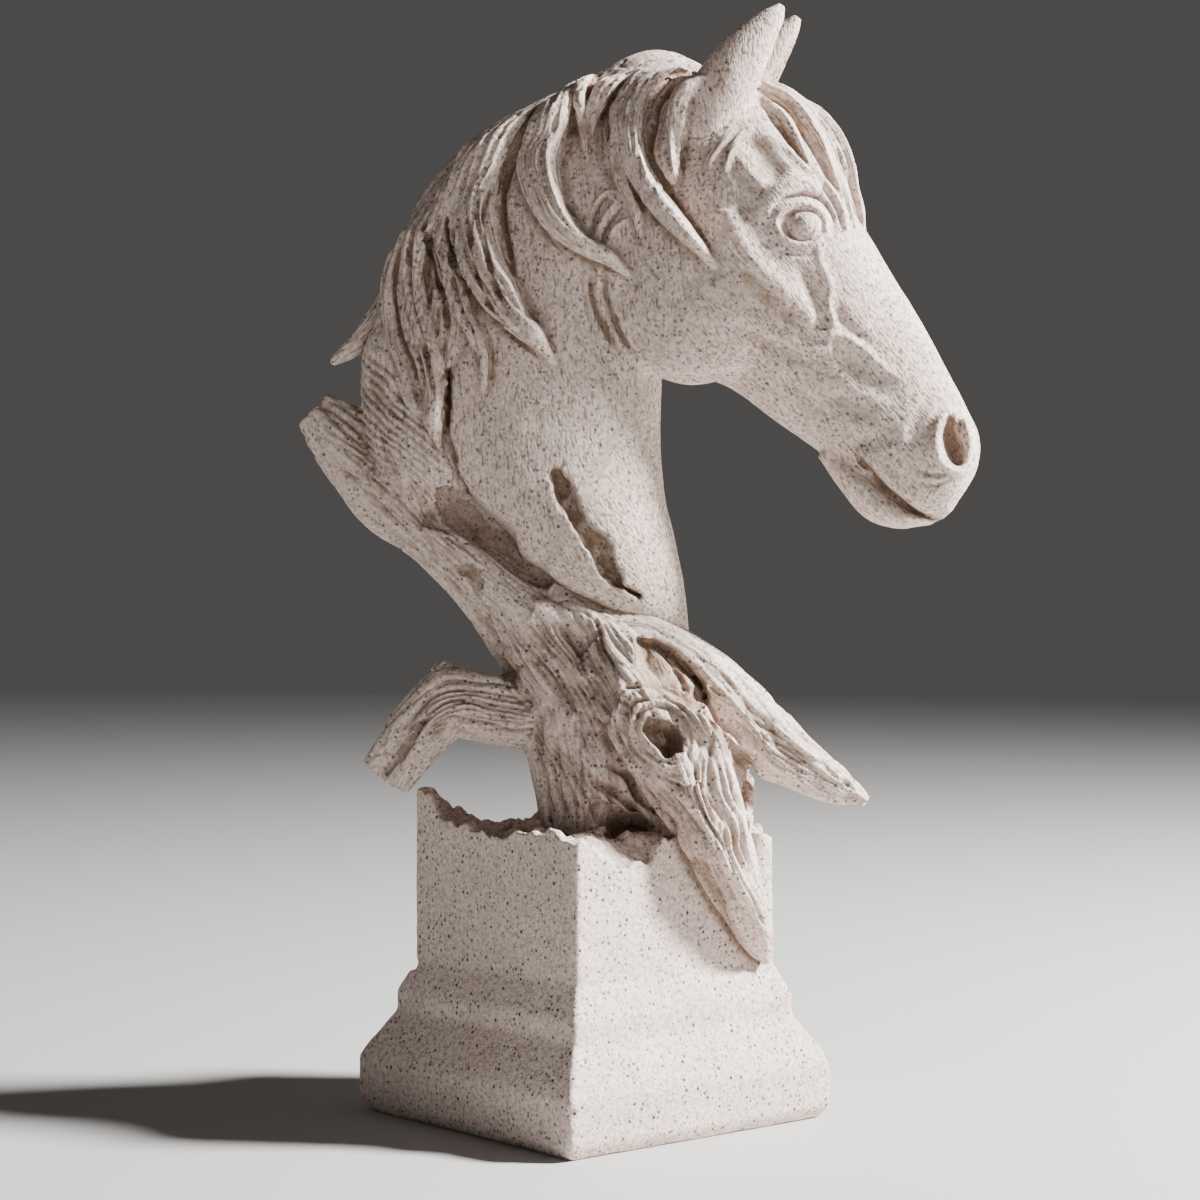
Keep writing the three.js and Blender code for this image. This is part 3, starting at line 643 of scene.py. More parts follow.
wood_piece = piece_of(wood, "driftwood")
places = vectors(wood_piece, "co") / MM
normals = vectors(wood_piece, "normal")
grain, _ = fibres(places, wood_runs)
waver = 2.2 * np.stack([noise(places, 16, 6), noise(places, 16, 7), 0 * places[:, 0]], axis=1)
grain = grain + waver
stretched = grain * [1, 1, 0.07]
broad = noise(stretched, 8.0, 8)
medium = (1 - np.abs(noise(stretched, 4.6, 9))) ** 7
fine = (1 - np.abs(noise(stretched, 2.6, 10))) ** 6
warp = 1.3 * np.stack([noise(places, 9, 14), 0 * places[:, 0], noise(places, 9, 15)], axis=1)
strokes = tooled(places + warp, normals, NEAR, wood_strokes) * (0.85 + 0.4 * noise(places, 7, 16))
in_view = np.clip(-normals[:, 1] * 2, 0, 1)
WOOD_SWELL, FINE_GRAIN = 0.6, 0.9
COARSE_GRAIN, LESS_IN_VIEW = 1.9, 1.0
coarse_grain = COARSE_GRAIN - LESS_IN_VIEW * in_view
heights = WOOD_SWELL * broad - coarse_grain * medium - FINE_GRAIN * fine + strokes
carve(wood_piece, heights)
keep(wood_piece, "grain", grain * [1, 1, 0.14])
# Darkening in tooled grooves, grain valleys and cut hollows, more in the hollows towards +x: partly the
# brown wash, partly painted shade.
wood_wash_and_shade = np.clip((-strokes - 0.9) / 3.6 + 0.55 * medium + 0.3 * fine, 0, 1)
cut_hollows_wash_and_shade = wood.in_cut(places) * (0.5 + 0.4 * np.clip((places[:, 0] - 10) / 6, 0, 1))
wood_wash_and_shade = np.maximum(wood_wash_and_shade, cut_hollows_wash_and_shade * (1 + 0.5 * noise(places, 4.0, 19)))
part_of_casting(wood_piece)

# Neck and head
# The horse's neck leans back from the poll and ends in a broken edge over the wood. The head is
# lofted along its nose and jaw lines, its features are pressed on, and veins and folds tooled.
NECK = [
    [30, 366, 62, 318, 15, 0], [4, 362, 40, 298, 19, -0.1], [-24, 350, 22, 287, 21, -0.12],
    [-50, 330, 21, 277, 22, -0.12], [-66, 305, 24, 266, 23, -0.12], [-74, 278, 24, 252, 24, -0.1],
    [-72, 254, 24, 235, 25, -0.06], [-56, 228, 26, 218, 26, 0], [-37, 208, 30, 201, 25, 0.05],
    [-17, 190, 33, 184, 21, 0.08], [2, 178, 34, 170, 14, 0.1],
]
HEAD = [
    [44, 373, 24, 352, 9, 0], [56, 367, 12, 318, 20, 0.05], [71, 354, 12, 290, 26, 0.12],
    [85, 337, 22, 269, 27, 0.16], [93, 320, 38, 263, 25, 0.18], [98.5, 311, 50, 258, 22, 0.14],
    [108, 295, 62, 249, 18.5, 0.05], [116.5, 281, 73, 241, 16, -0.04],
    [125, 265, 83, 234, 15, -0.06], [132, 251, 91, 229, 15.5, 0], [136.5, 240, 99, 224, 16, 0.05],
    [135, 228, 108, 217, 14, 0], [127, 215, 120, 211.5, 6, 0],
]
CHIN = [
    [88, 236, 80, 234, 7, 0], [95, 229, 88, 222, 11, 0], [105, 220, 97, 212, 12, 0],
    [114, 214, 108, 208.5, 10.5, 0], [121, 212, 119, 210, 5, 0],
]


def loft(rows, sides=48, steps=70, square=2.2):
    """A body through sections [top x, top z, bottom x, bottom z, half-width, skew]."""
    top_x, top_z, low_x, low_z, width, skew = (c[:, None] for c in through(rows, steps).T)
    turn = np.linspace(0, 2 * math.pi, sides, endpoint=False)[None, :]
    up = np.sign(np.sin(turn)) * np.abs(np.sin(turn)) ** (2 / square)
    out = np.sign(np.cos(turn)) * np.abs(np.cos(turn)) ** (2 / square)
    x = (top_x + low_x) / 2 + up * (top_x - low_x) / 2
    z = (top_z + low_z) / 2 + up * (top_z - low_z) / 2
    return skinned(np.stack([x, out * width * (1 + skew * up), z], axis=-1))


horse = Clay((-102, -46, 160), (144, 46, 400), voxel=0.65)
horse.add(loft(NECK))
horse.add(loft(HEAD), fillet=6)
horse.add(loft(CHIN), fillet=3)
JOWL, JOWL_SIZE = (35, 14.5, 289), (27, 9.5, 28)
EYE, EYE_SIZE = (74.8, 20.6, 312.7), (7.0, 6.9, 6.2)
SOCKET_SIZE = (8, 4.3, 6.6)
for side in (NEAR, FAR):
    horse.add(ball((JOWL[0], side * JOWL[1], JOWL[2]), JOWL_SIZE), fillet=6)

CHEEK_CREST = [
    [48, 317, 3, 3], [54, 304, 3.5, 3.5], [61, 296, 3.5, 3.5], [69, 288, 3.5, 3],
    [77, 281, 2.5, 2.5],
]
CHEEK_FOLD = [[45, 293, 2, 2], [52, 284, 3, 2.5], [61, 278, 3, 2.5], [72, 272, 2, 2], [82, 270, 1, 1.5]]
BROW = [
    [58, 316, 2, 1.8], [64, 321, 3.2, 2.8], [70, 325.4, 3.6, 3.6], [76, 326.6, 3.6, 3.8],
    [82, 325, 3.2, 3.4], [87, 320, 2.2, 2.4], [89, 313, 1.2, 1.6],
]
UPPER_LID = [
    [64.5, 314, 0.8, 0.9], [67.5, 317, 1.3, 1.5], [71.5, 319.3, 1.5, 1.9], [76, 319.8, 1.5, 2],
    [80, 318, 1.5, 1.9], [82.3, 314.5, 1.3, 1.6], [82.8, 310.5, 0.9, 1],
]
LOWER_LID = [
    [65, 313.5, 0.7, 0.8], [67, 309.8, 1.1, 1.2], [70, 306.8, 1.2, 1.4], [74, 305.6, 1.2, 1.4],
    [78, 306.2, 1.2, 1.4], [81.5, 308.5, 0.9, 1],
]
NOSTRIL_RIM = [
    [126, 249.5, 0.8, 1.5], [123.5, 247, 1.6, 2.8], [121.2, 242.5, 2.1, 3.6], [120.5, 237, 2.3, 4],
    [121.5, 232, 2.3, 4], [125, 228.5, 2, 3.4], [129.5, 228, 1.4, 2.4], [132.5, 231, 0.7, 1.2],
]
NOSTRIL_HOLLOW = [
    [126.5, 247.5, 1, 2], [125.5, 243.5, 2.4, 4], [126.5, 238, 3.3, 5.5], [128, 233, 2.8, 4.5],
    [130, 230.5, 1.2, 2.5],
]
NOSTRIL_FLAP = [[130, 246, 1.2, 2], [131.5, 241, 1.8, 2.4], [132, 236, 1.6, 2.2], [131, 232, 1, 1.4]]
LIP = [
    [94, 235, 2, 2], [101, 230, 2.6, 2.6], [108, 222.5, 2.6, 2.8], [116, 216.5, 2.6, 2.8],
    [124, 213.5, 2, 2],
]
MOUTH = [
    [93.5, 234, 0.7, 2.4], [95.5, 231, 1.3, 3.4], [99, 228, 0.6, 2.6], [103, 223.2, 0.45, 2.4],
    [107.5, 219.6, 0.45, 2.4], [113, 214.8, 0.45, 2.4], [119, 212.3, 0.45, 2], [124, 211.2, 0.4, 1.4],
]
VEINS = [
    [[80, 306, 0.8, 0.8], [81, 300, 1.2, 1.2], [83, 295, 1.4, 1.3], [84.3, 291, 1.4, 1.3],
     [83.4, 286, 1.4, 1.3], [85.2, 281, 1.5, 1.4], [85, 275.5, 1.6, 1.5], [84, 270, 1.2, 1.1],
     [86, 264, 0.9, 0.8]],
    [[84, 276, 0.9, 1], [90, 274, 1.5, 1.4], [95, 271.5, 1.6, 1.5], [99, 267.5, 1.4, 1.3],
     [104, 263, 1, 1], [108, 260.5, 0.6, 0.6]],
    [[66, 281.5, 0.7, 0.7], [71, 277.8, 1.1, 1], [77, 275.8, 1.3, 1.2], [84, 275.4, 1.2, 1.2]],
]
for side in (NEAR, FAR):
    for rows, fillet in ((CHEEK_CREST, 5), (CHEEK_FOLD, 4), (BROW, 4), (LIP, 3)):
        horse.add(limb(laid(horse, side, rows, sink=1.2)).body, fillet=fillet)
    horse.cut(ball((EYE[0], side * 27, EYE[2]), SOCKET_SIZE), fillet=2, washed_and_shaded=False)
    horse.add(ball((EYE[0], side * EYE[1], EYE[2]), EYE_SIZE), fillet=0.3)
    horse.add(limb(laid(horse, side, LOWER_LID, sink=0.2)).body, fillet=0.5)
    horse.add(limb(laid(horse, side, UPPER_LID, sink=0.2)).body, fillet=0.5)
    horse.add(limb(laid(horse, side, NOSTRIL_RIM, sink=1.2)).body, fillet=2)
    horse.cut(limb(laid(horse, side, NOSTRIL_HOLLOW)).body, fillet=0.8)
    horse.add(limb(laid(horse, side, NOSTRIL_FLAP, sink=-0.5)).body, fillet=1)
    horse.cut(limb(laid(horse, side, MOUTH)).body, fillet=0.8)
    for rows in VEINS:
        horse.add(limb(laid(horse, side, rows, sink=0.5)).body, fillet=1.2)

EAR = [
    [41, -16, 343, 10, 8], [42.5, -17, 353, 11, 8], [49, -18.5, 365, 10.5, 7.5],
    [56.5, -18.5, 376, 8.3, 6], [63.5, -17.5, 385, 5, 4], [67.5, -16.5, 390.5, 1.5, 1.5],
]
EAR_HOLLOW = [
    [61, -13, 359, 2, 3], [63.5, -15, 367, 4.5, 4], [68, -16.5, 377, 4, 3.4],
    [72, -16.5, 386, 2.6, 2.4], [76, -16, 395, 2, 1.5],
]
FAR_EAR_LEAN = 5


def far_ear(rows):
    root, tip = rows[0][2], rows[-1][2]
    leans = [FAR_EAR_LEAN * (row[2] - root) / (tip - root) for row in rows]
    return [[x + lean, -y, z + 0.6 * lean, *rest] for lean, (x, y, z, *rest) in zip(leans, rows)]


for leaf, hollow in ((EAR, EAR_HOLLOW), (far_ear(EAR), far_ear(EAR_HOLLOW))):
    horse.add(limb(leaf).body, fillet=2)
    horse.cut(limb(hollow).body, fillet=0.8)

# Mane
# Broad locks that fall from the crest over the neck, each a strap of clay laid on the neck with
# strands drawn along it. A lock's rows give its two edges: [left x, left z, right x, right z].
CREST = [
    [40, 0, 365, 7, 8], [22, 0, 369, 10, 11], [2, 0, 361, 9, 13], [-16, 0, 351, 11, 15],
    [-34, 0, 340, 12, 15], [-50, 0, 326, 11, 14], [-61, 0, 309, 9, 13], [-67, 0, 293, 8, 12],
    [-68, 0, 278, 8, 11],
]
SPUR = [[-70, -2, 292, 7, 7], [-79, -3, 280, 6, 6], [-87, -4, 273, 4, 4], [-94, -5, 268, 1.5, 2]]
crest = limb(CREST)
spur = limb(SPUR, flutes=4, groove=0.1)
horse.add(crest.body, fillet=3)
horse.add(spur.body, fillet=3)
bare = Clay((-102, -46, 160), (144, 46, 400), voxel=0.65)
bare.field = horse.field.copy()
STRAP_POINTS = 27


def eased(grid, times):
    """Evens out a grid of points along both of its ways."""
    for _ in range(times):
        for axis in (0, 1):
            n = grid.shape[axis]
            before = np.take(grid, np.maximum(np.arange(n) - 1, 0), axis)
            after = np.take(grid, np.minimum(np.arange(n) + 1, n - 1), axis)
            grid = 0.5 * grid + 0.25 * (before + after)
    return grid


def strap(edges, side, rise, strands, roll=0.5):
    """A lock between its two edges, thickest at the roll, with grooves between its strands."""
    rows = through(edges, 5 * len(edges))
    u = np.linspace(0, 1, STRAP_POINTS)
    flat = rows[:, None, :2] * (1 - u)[None, :, None] + rows[:, None, 2:4] * u[None, :, None]
    count = len(rows)
    on, facing = bare.surface(side, flat.reshape(-1, 2))
    on, facing = on.reshape(count, -1, 3), eased(facing.reshape(count, -1, 3), 12)
    on[..., 1:2] = eased(on[..., 1:2], 12)
    width = np.linalg.norm(rows[:, :2] - rows[:, 2:4], axis=1)
    share = np.linspace(0, 1, count)
    ends = np.clip(0.2 + 7 * share, 0, 1) * np.clip(0.1 + 8 * (1 - share), 0, 1)
    full = (np.clip(width / 6, 0.15, 1) * ends)[:, None]
    bow = np.where(u < roll, u / roll, (1 - u) / (1 - roll))
    crown = 0.5 + 0.5 * np.sin(bow * math.pi / 2) ** 0.6
    drift = 0.1 * np.sin(np.linspace(0, 4, count))[:, None]
    parting = (1 - np.abs(np.sin(math.pi * strands * (u[None, :] + drift)))) ** 2
    lift = (rise * crown[None, :] - 2.1 * parting) * full
    top = on + facing * lift[..., None]
    under = (on - facing * 3.0 * full[..., None])[:, ::-3]
    body = skinned(np.concatenate([top, under], axis=1))
    middle = on[:, STRAP_POINTS // 2]
    return Run(middle, facing[:, STRAP_POINTS // 2], width / 2 + 0.5, width / 2 + 3, body)


POLL_LOCK = [
    (17, 370, 36, 371), (10, 363, 27, 368), (7.5, 355, 21, 358), (8, 346, 19, 348),
    (10.5, 337, 20, 339.5), (15, 328, 24, 331.5), (21.5, 319, 29.5, 323), (29, 311, 35.5, 315),
    (36.5, 304, 41, 307), (43, 298, 46, 299),
]
POLL_SIDE = [
    (13, 358, 17, 360), (9, 350, 13, 351), (7, 342, 12, 343), (8, 333, 13, 334), (11, 325, 16, 326),
    (15, 317, 19, 318), (17, 308, 18, 308),
]
EAR_LOCK = [
    (32, 366, 42, 365), (27, 357, 37, 357), (24, 347, 35, 348), (23, 338, 33, 338),
    (26, 331, 33, 332), (30, 325, 31, 325),
]
LONG_LOCK = [
    (-12, 362, -1, 368), (-20, 352, -6, 358), (-24, 344, -8, 347), (-25, 336, -10, 337),
    (-23, 326, -9, 328), (-18.5, 317, -7, 320), (-13, 310, -4, 314.5), (-7, 305.5, 0, 309.5),
    (-1, 302.5, 5, 307), (6, 300, 10, 303.5), (12, 296.5, 14, 299), (16, 293, 17, 294),
]
CREST_STRAND = [
    (-3, 366, 3, 369), (-6, 358, -1, 360), (-5, 351, -1, 351), (-3, 343, 0, 344), (-1, 335, 0, 335),
]
POLL_SHADOW = [
    (5, 368, 14, 368), (0, 361, 8, 361), (-2, 355, 4, 354), (-1, 348, 2, 347), (1, 341, 2, 341),
]
BIG_LOCK = [
    (-33, 350, -15, 359), (-44, 340, -26, 346), (-50, 328, -31, 333), (-49, 316, -32, 321),
    (-46, 304, -31, 311), (-42, 294, -29, 302), (-36, 285, -25, 294), (-28, 277, -21, 284),
    (-20, 271, -15.5, 277), (-12, 265, -11, 267),
]
INNER_LOCK = [
    (-48, 337, -42, 342), (-54, 325, -47, 329), (-56, 313, -49, 316), (-54, 302, -46, 304),
    (-50, 292, -42, 293), (-47, 284, -40, 284), (-43, 277, -36, 276), (-39, 270, -34, 269),
    (-38, 262, -34, 262), (-37, 256, -35, 256),
]
TAIL_LOCK = [
    (-60, 322, -52, 326), (-66, 310, -56, 312), (-69, 298, -57, 299), (-69, 287, -56, 288),
    (-66, 276, -53, 277), (-61, 266, -50, 267), (-58, 256, -49, 257), (-56, 246, -50, 246),
    (-54, 235, -52, 235),
]
OUTER_LOCK = [
    (-64, 314, -58, 315), (-71, 303, -62, 305), (-74, 292, -64, 294), (-74, 282, -64, 285),
    (-72, 272, -62, 275), (-68, 262, -58, 265), (-64, 253, -55, 254), (-59, 244, -54, 245),
]
MANE_BASE = [
    (-46, 337, -24, 351), (-56, 326, -33, 338), (-63, 313, -37, 324), (-68, 300, -37, 309),
    (-70, 287, -38, 296), (-69, 275, -42, 284), (-65, 265, -47, 270), (-60, 257, -52, 259),
]
POLL_BASE = [
    (12, 367, 41, 368), (7, 357, 37, 357), (5, 346, 34, 346), (8, 334, 33, 336), (13, 324, 31, 327),
]
NEAR_LOCKS = [
    (MANE_BASE, 2.0, 8, 0.5), (POLL_BASE, 2.5, 6, 0.5),
    (POLL_SHADOW, 5, 3, 0.6), (CREST_STRAND, 7, 2, 0.4),
    (INNER_LOCK, 6.5, 3, 0.7), (OUTER_LOCK, 5.5, 3, 0.6), (TAIL_LOCK, 8, 4, 0.75),
    (BIG_LOCK, 9.5, 5, 0.75), (LONG_LOCK, 9, 4, 0.7),
    (POLL_SIDE, 6, 2, 0.4), (EAR_LOCK, 6, 3, 0.75), (POLL_LOCK, 9.5, 4, 0.7),
]
FAR_LOCKS = [
    (MANE_BASE, 3, 7, 0.5), (POLL_BASE, 3, 6, 0.5), (POLL_SIDE, 5, 2, 0.5), (INNER_LOCK, 6, 2, 0.5),
    (TAIL_LOCK, 6.5, 3, 0.5), (BIG_LOCK, 7.5, 3, 0.6), (LONG_LOCK, 7, 3, 0.6), (POLL_LOCK, 7.5, 3, 0.6),
]
BARK_GAP = [
    (-60, 266, -52, 268), (-63, 258, -50.5, 260), (-64, 250, -50, 251), (-63, 242, -50.5, 242),
    (-61, 233, -51, 233),
]
horse.cut(sunk(bare, BARK_GAP, 8), fillet=1, washed_and_shaded=False)
hair_runs = [spur]
for locks, side in ((NEAR_LOCKS, NEAR), (FAR_LOCKS, FAR)):
    for edges, rise, strands, roll in locks:
        lock = strap(edges, side, rise, strands, roll)
        hair_runs.append(lock)
        horse.add(lock.body, fillet=0.5)

FORELOCK_NEAR = [
    [60, -4, 364, 4, 5], [70, -6, 358, 5, 5], [79, -9, 346, 5, 5], [84, -12, 334, 4.5, 4.5],
    [88, -14, 323, 3.8, 3.5], [91, -13, 312, 3, 2.6], [92, -12, 303, 1.2, 1],
]
FORELOCK_TOP = [
    [60, 2, 365, 5, 5], [71, 1, 358, 5.5, 5], [81, 0, 348.5, 5, 5], [87.5, -1, 336, 4.5, 4.5],
    [91, -1, 326, 3.8, 4], [94, 0, 314, 1.5, 2],
]
FORELOCK_FAR = [[x, 7 - 0.6 * y, z, a, b] for x, y, z, a, b in FORELOCK_NEAR]
FORELOCK_WAVE = [
    [72, -4, 359, 3, 3], [80, -5, 353, 4, 4], [86, -7, 345, 4, 4], [90, -8, 336, 3.6, 3.6],
    [91.5, -7, 328, 3.4, 3.2], [94, -6, 320, 2.6, 2.6], [96, -5, 310, 0.9, 1],
]
FORELOCK_WISP = [
    [60, -11, 358, 3, 3], [66, -14, 353, 3.6, 3.6], [71, -16, 346, 3, 3], [75, -18.5, 338, 2, 2],
    [77.5, -20, 332, 0.8, 1],
]
for rows, flutes in (
    (FORELOCK_FAR, 5), (FORELOCK_TOP, 6), (FORELOCK_NEAR, 6), (FORELOCK_WAVE, 5), (FORELOCK_WISP, 4),
):
    strand = limb(rows, flutes=flutes, groove=0.22, twist=0.7)
    hair_runs.append(strand)
    horse.add(strand.body, fillet=0.8)

EAR_TUFT = [
    [[50, 347, 1.6, 2.2], [45, 340, 2, 2.6], [42, 334, 2, 2.6], [42, 325, 0.8, 1]],
    [
        [56, 348, 1.6, 2], [52, 342, 1.8, 2.4], [49, 337, 1.8, 2.4], [48, 331, 1.2, 1.6],
        [51, 327, 0.8, 1],
    ],
]
for rows in EAR_TUFT:
    for side in (NEAR, FAR):
        strand = limb(laid(horse, side, rows, sink=0.8))
        hair_runs.append(strand)
        horse.add(strand.body, fillet=1.6)

SLOT = [
    (-12, 229, -10, 229), (-13, 226, -8, 227), (-11.5, 220, -4.5, 222), (-8, 213, -2, 215),
    (-4, 207, 1, 209), (-1.5, 203, 7, 205), (2, 196, 9.5, 199), (6, 190.5, 11, 193),
    (12, 187, 13.5, 188), (18, 184, 18.5, 185),
]
GAP = [
    (-50, 236, -48, 236), (-50.5, 228, -46, 229), (-51, 218, -41, 221), (-49, 209, -34, 215),
    (-41, 201, -26, 208), (-31, 194, -24, 199), (-21, 188, -16, 194), (-12, 184, -10, 188),
]
CRACK = [
    (-49.6, 264, -48.8, 264), (-50, 256, -48, 255), (-50.2, 248, -48.6, 248),
    (-51.5, 241, -48.4, 240), (-52, 232, -46, 232),
]
horse.cut(sunk(bare, SLOT, 5.5), fillet=0.7)
horse.cut(sunk(bare, GAP, 12.0), fillet=0.9, washed_and_shaded=False)
horse.cut(sunk(bare, CRACK, 6.0), fillet=0.7)

FACE_STROKES = [
    ([(73, 300), (77, 292), (80, 285), (80.5, 278)], 3.6, -1.0),
    ([(85, 274), (89, 267), (95, 262), (102, 258), (110, 254)], 5.5, -1.0),
    ([(86, 287), (88, 281), (93, 276), (99, 271)], 2.8, -0.9),
    ([(48, 306), (54, 297), (60, 290), (66, 285), (71, 281), (76, 276)], 3.4, -1.4),
    ([(50, 279), (57, 275), (63, 271.5), (70, 269), (78, 267)], 3.4, -1.0),
    ([(46, 320), (54, 319), (62, 314)], 4.0, -1.0),
    ([(54, 346), (60, 339), (65, 332), (68, 328)], 5.0, -1.7),
    ([(52, 336), (57, 330), (62, 325)], 2.4, 1.0),
    ([(63, 344), (69, 340), (76, 333), (82, 328), (86, 322), (89, 315), (90, 307)], 2.0, 1.2),
    ([(62, 353), (68, 346), (73, 338), (77, 334), (83, 325), (87, 318), (89, 309)], 1.3, -1.8),
    ([(63, 315.5), (66, 319.6), (71, 322.2), (76, 323), (81, 321.6), (84.8, 317), (85.5, 311)], 1.0, -1.3),
    ([(66, 305), (70, 302.6), (75, 302), (80, 303.6)], 0.9, -0.6),
    (
        [(78.4, 314.5), (75.5, 316.2), (72.3, 314.5), (71.6, 311.5), (74, 309), (77.5, 309.6),
         (79, 312.5), (78, 315)],
        0.7, -0.6,
    ),
    ([(118, 255), (114, 246), (113, 236), (117, 228)], 3.6, -0.6),
    ([(114, 229), (118, 227), (123, 226.5), (128, 227)], 1.0, -1.3),
    ([(115, 225), (120, 223), (125, 224.5), (128, 226)], 1.0, -1.0),
    ([(99, 234), (104, 230), (108, 225)], 1.6, -0.9),
    ([(92, 240), (99, 238), (105, 242)], 4.0, -1.0),
    ([(66, 262), (74, 254), (84, 246)], 4.0, -1.0),
    ([(82, 256), (92, 250), (100, 247)], 4.0, -1.1),
]
NECK_STROKES = [
    ([(1, 303), (1, 292), (3, 284), (7, 276), (12, 269)], 1.7, -1.9),
    ([(6, 301), (6, 291), (9, 281), (13, 273), (18, 267)], 1.5, -1.7),
    ([(-2, 304), (-2, 295), (-1, 286), (2, 277), (8, 268)], 1.4, -1.0),
    ([(-2, 284), (2, 274), (8, 264), (14, 257)], 2.0, -0.8),
    ([(9, 327), (4, 324), (1, 318)], 1.0, 1.2),
    ([(10, 323), (5, 316), (2, 309)], 1.1, 1.4),
    ([(15, 317), (9, 313), (6, 306)], 1.1, 1.4),
    ([(12, 321), (7, 314), (4, 307)], 0.9, -1.3),
    ([(7, 326), (3, 319), (0, 311)], 0.9, -1.3),
    ([(-26, 341), (-30, 328), (-30, 318), (-28, 307), (-26, 297)], 1.5, -2.0),
    ([(-30, 292), (-24, 285), (-17, 280)], 1.0, -1.0),
    ([(39, 371), (30, 368), (24, 361), (21, 353), (20, 345)], 0.9, -1.0),
    ([(35, 367), (30, 364), (25, 357), (23, 348), (22, 341)], 1.1, -1.6),
    ([(-59, 320), (-57, 311), (-54, 300), (-51, 288), (-49, 277)], 1.5, -2.6),
    ([(-60, 320), (-63, 308), (-63, 293), (-59, 281), (-56, 267), (-53, 252)], 1.2, -2.0),
    ([(-67, 312), (-69, 300), (-69, 289), (-66, 276), (-61, 263), (-57, 248)], 1.2, -2.0),
    ([(-66, 306), (-66, 294), (-63, 281), (-58.5, 266), (-55, 250)], 0.8, -1.2),
    ([(-47, 318), (-48, 303), (-45, 288), (-40, 277), (-38, 266)], 1.1, -1.6),
    ([(-38, 325), (-41, 310), (-38, 295), (-32, 282), (-24, 274), (-17, 268)], 1.0, -1.4),
    ([(-33, 332), (-36, 317), (-34, 301), (-29, 286), (-22, 276)], 1.2, -1.8),
    ([(33, 344), (40, 343.5), (46, 346), (52, 351)], 1.0, -1.2),
]
horse_piece = piece_of(horse, "horse_head_and_mane")
places = vectors(horse_piece, "co") / MM
normals = vectors(horse_piece, "normal")
hair, closeness = fibres(places, hair_runs)
face = tooled(places, normals, NEAR, FACE_STROKES) + tooled(places, normals, FAR, FACE_STROKES)
strokes = tooled(places, normals, NEAR, NECK_STROKES)
in_hair = np.clip((1.25 - closeness) / 0.2, 0, 1)
combed = hair * [1, 1, 0.06]
strand_lines = (1 - np.abs(noise(combed, 2.4, 11))) ** 5
SKIN_SWELL, SKIN_GRIT = 0.22, 0.12
CRUMB_DEPTH, STRAND_DEPTH = 0.8, 0.8
uneven = SKIN_SWELL * noise(places, 9.0, 12) + SKIN_GRIT * noise(places, 3.5, 13)
crumbled = horse.in_cut(places) * np.clip((40 - places[:, 0]) / 4, 0, 1)
uneven += CRUMB_DEPTH * crumbled * noise(places, 2.6, 17)
carve(horse_piece, face + strokes + uneven - STRAND_DEPTH * strand_lines * in_hair)
NECK_LIE, HEAD_LIE = math.radians(-82), math.radians(-52)
on_head = np.clip((places[:, 0] - 0.55 * (places[:, 2] - 290) - 30) / 14, 0, 1)
skin = []
for lie in (NECK_LIE, HEAD_LIE):
    along = places[:, 0] * math.cos(lie) + places[:, 2] * math.sin(lie)
    aside = -places[:, 0] * math.sin(lie) + places[:, 2] * math.cos(lie)
    skin.append(np.stack([aside, places[:, 1], 0.3 * along], axis=1))
fur = np.where((on_head > 0.5)[:, None], skin[1], skin[0])
keep(horse_piece, "grain", np.where((in_hair > 0.5)[:, None], combed, fur))
# Darkening in tooled grooves, between strands and inside cuts, less on raised face strokes: partly the
# brown wash, partly painted shade.
horse_wash_and_shade = np.clip((-strokes - 0.9) / 2.8 - 0.15 * face + 0.5 * strand_lines * in_hair, 0, 1)
horse_wash_and_shade = np.maximum(horse_wash_and_shade, horse.in_cut(places) * (0.55 + 0.35 * noise(places, 3.0, 18)))
part_of_casting(horse_piece)

# Finish
# Cast resin with stone powder: warm pale sandstone with dark and white grains, and a brown wash
# that was wiped off the high places and left in the hollows. The umber in hollows, creases and
# cut grooves is partly that wash and partly painted shade, and on the plinth beside the root it is
# a painted shadow.
PALE, TAN = (0.75, 0.62, 0.555), (0.48, 0.37, 0.31)
UMBER, GREY = (0.185, 0.113, 0.064), (0.045, 0.042, 0.05)
stone = bpy.data.materials.new("cast_stone_resin")
stone.use_nodes = True
nodes, links = stone.node_tree.nodes, stone.node_tree.links
shader = nodes["Principled BSDF"]
shader.inputs["Roughness"].default_value = 0.78
shader.inputs["Specular IOR Level"].default_value = 0.3
place = nodes.new("ShaderNodeTexCoord")
PER_METRE = 1 / MM


def pattern(kind, size, vector, **settings):
    node = nodes.new(kind)
    node.inputs["Scale"].default_value = PER_METRE / size
    for name, value in settings.items():
        node.inputs[name].default_value = value
    links.new(vector, node.inputs["Vector"])
    return node


def mapped(value, low, high, start=0.0, end=1.0):
    node = nodes.new("ShaderNodeMapRange")
    node.inputs["From Min"].default_value = low
    node.inputs["From Max"].default_value = high
    node.inputs["To Min"].default_value = start
    node.inputs["To Max"].default_value = end
    links.new(value, node.inputs["Value"])
    return node.outputs["Result"]


def mixed(share, first, second, blend="MIX"):
    node = nodes.new("ShaderNodeMix")
    node.data_type = "RGBA"
    node.blend_type = blend
    for socket, value in (("Factor", share), ("A", first), ("B", second)):
        kind = 0 if socket == "Factor" else 2
        target = [s for s in node.inputs if s.name == socket][kind]
        if isinstance(value, tuple):
            target.default_value = (*value, 1)
        else:
            links.new(value, target)
    return node.outputs[2]


def combined(a, b, how):
    node = nodes.new("ShaderNodeMath")
    node.operation = how
    for socket, value in zip(node.inputs, (a, b)):
        if isinstance(value, float):
            socket.default_value = value
        else:
            links.new(value, socket)
    return node.outputs[0]


def kept(name):
    node = nodes.new("ShaderNodeAttribute")
    node.attribute_name = name
    return node


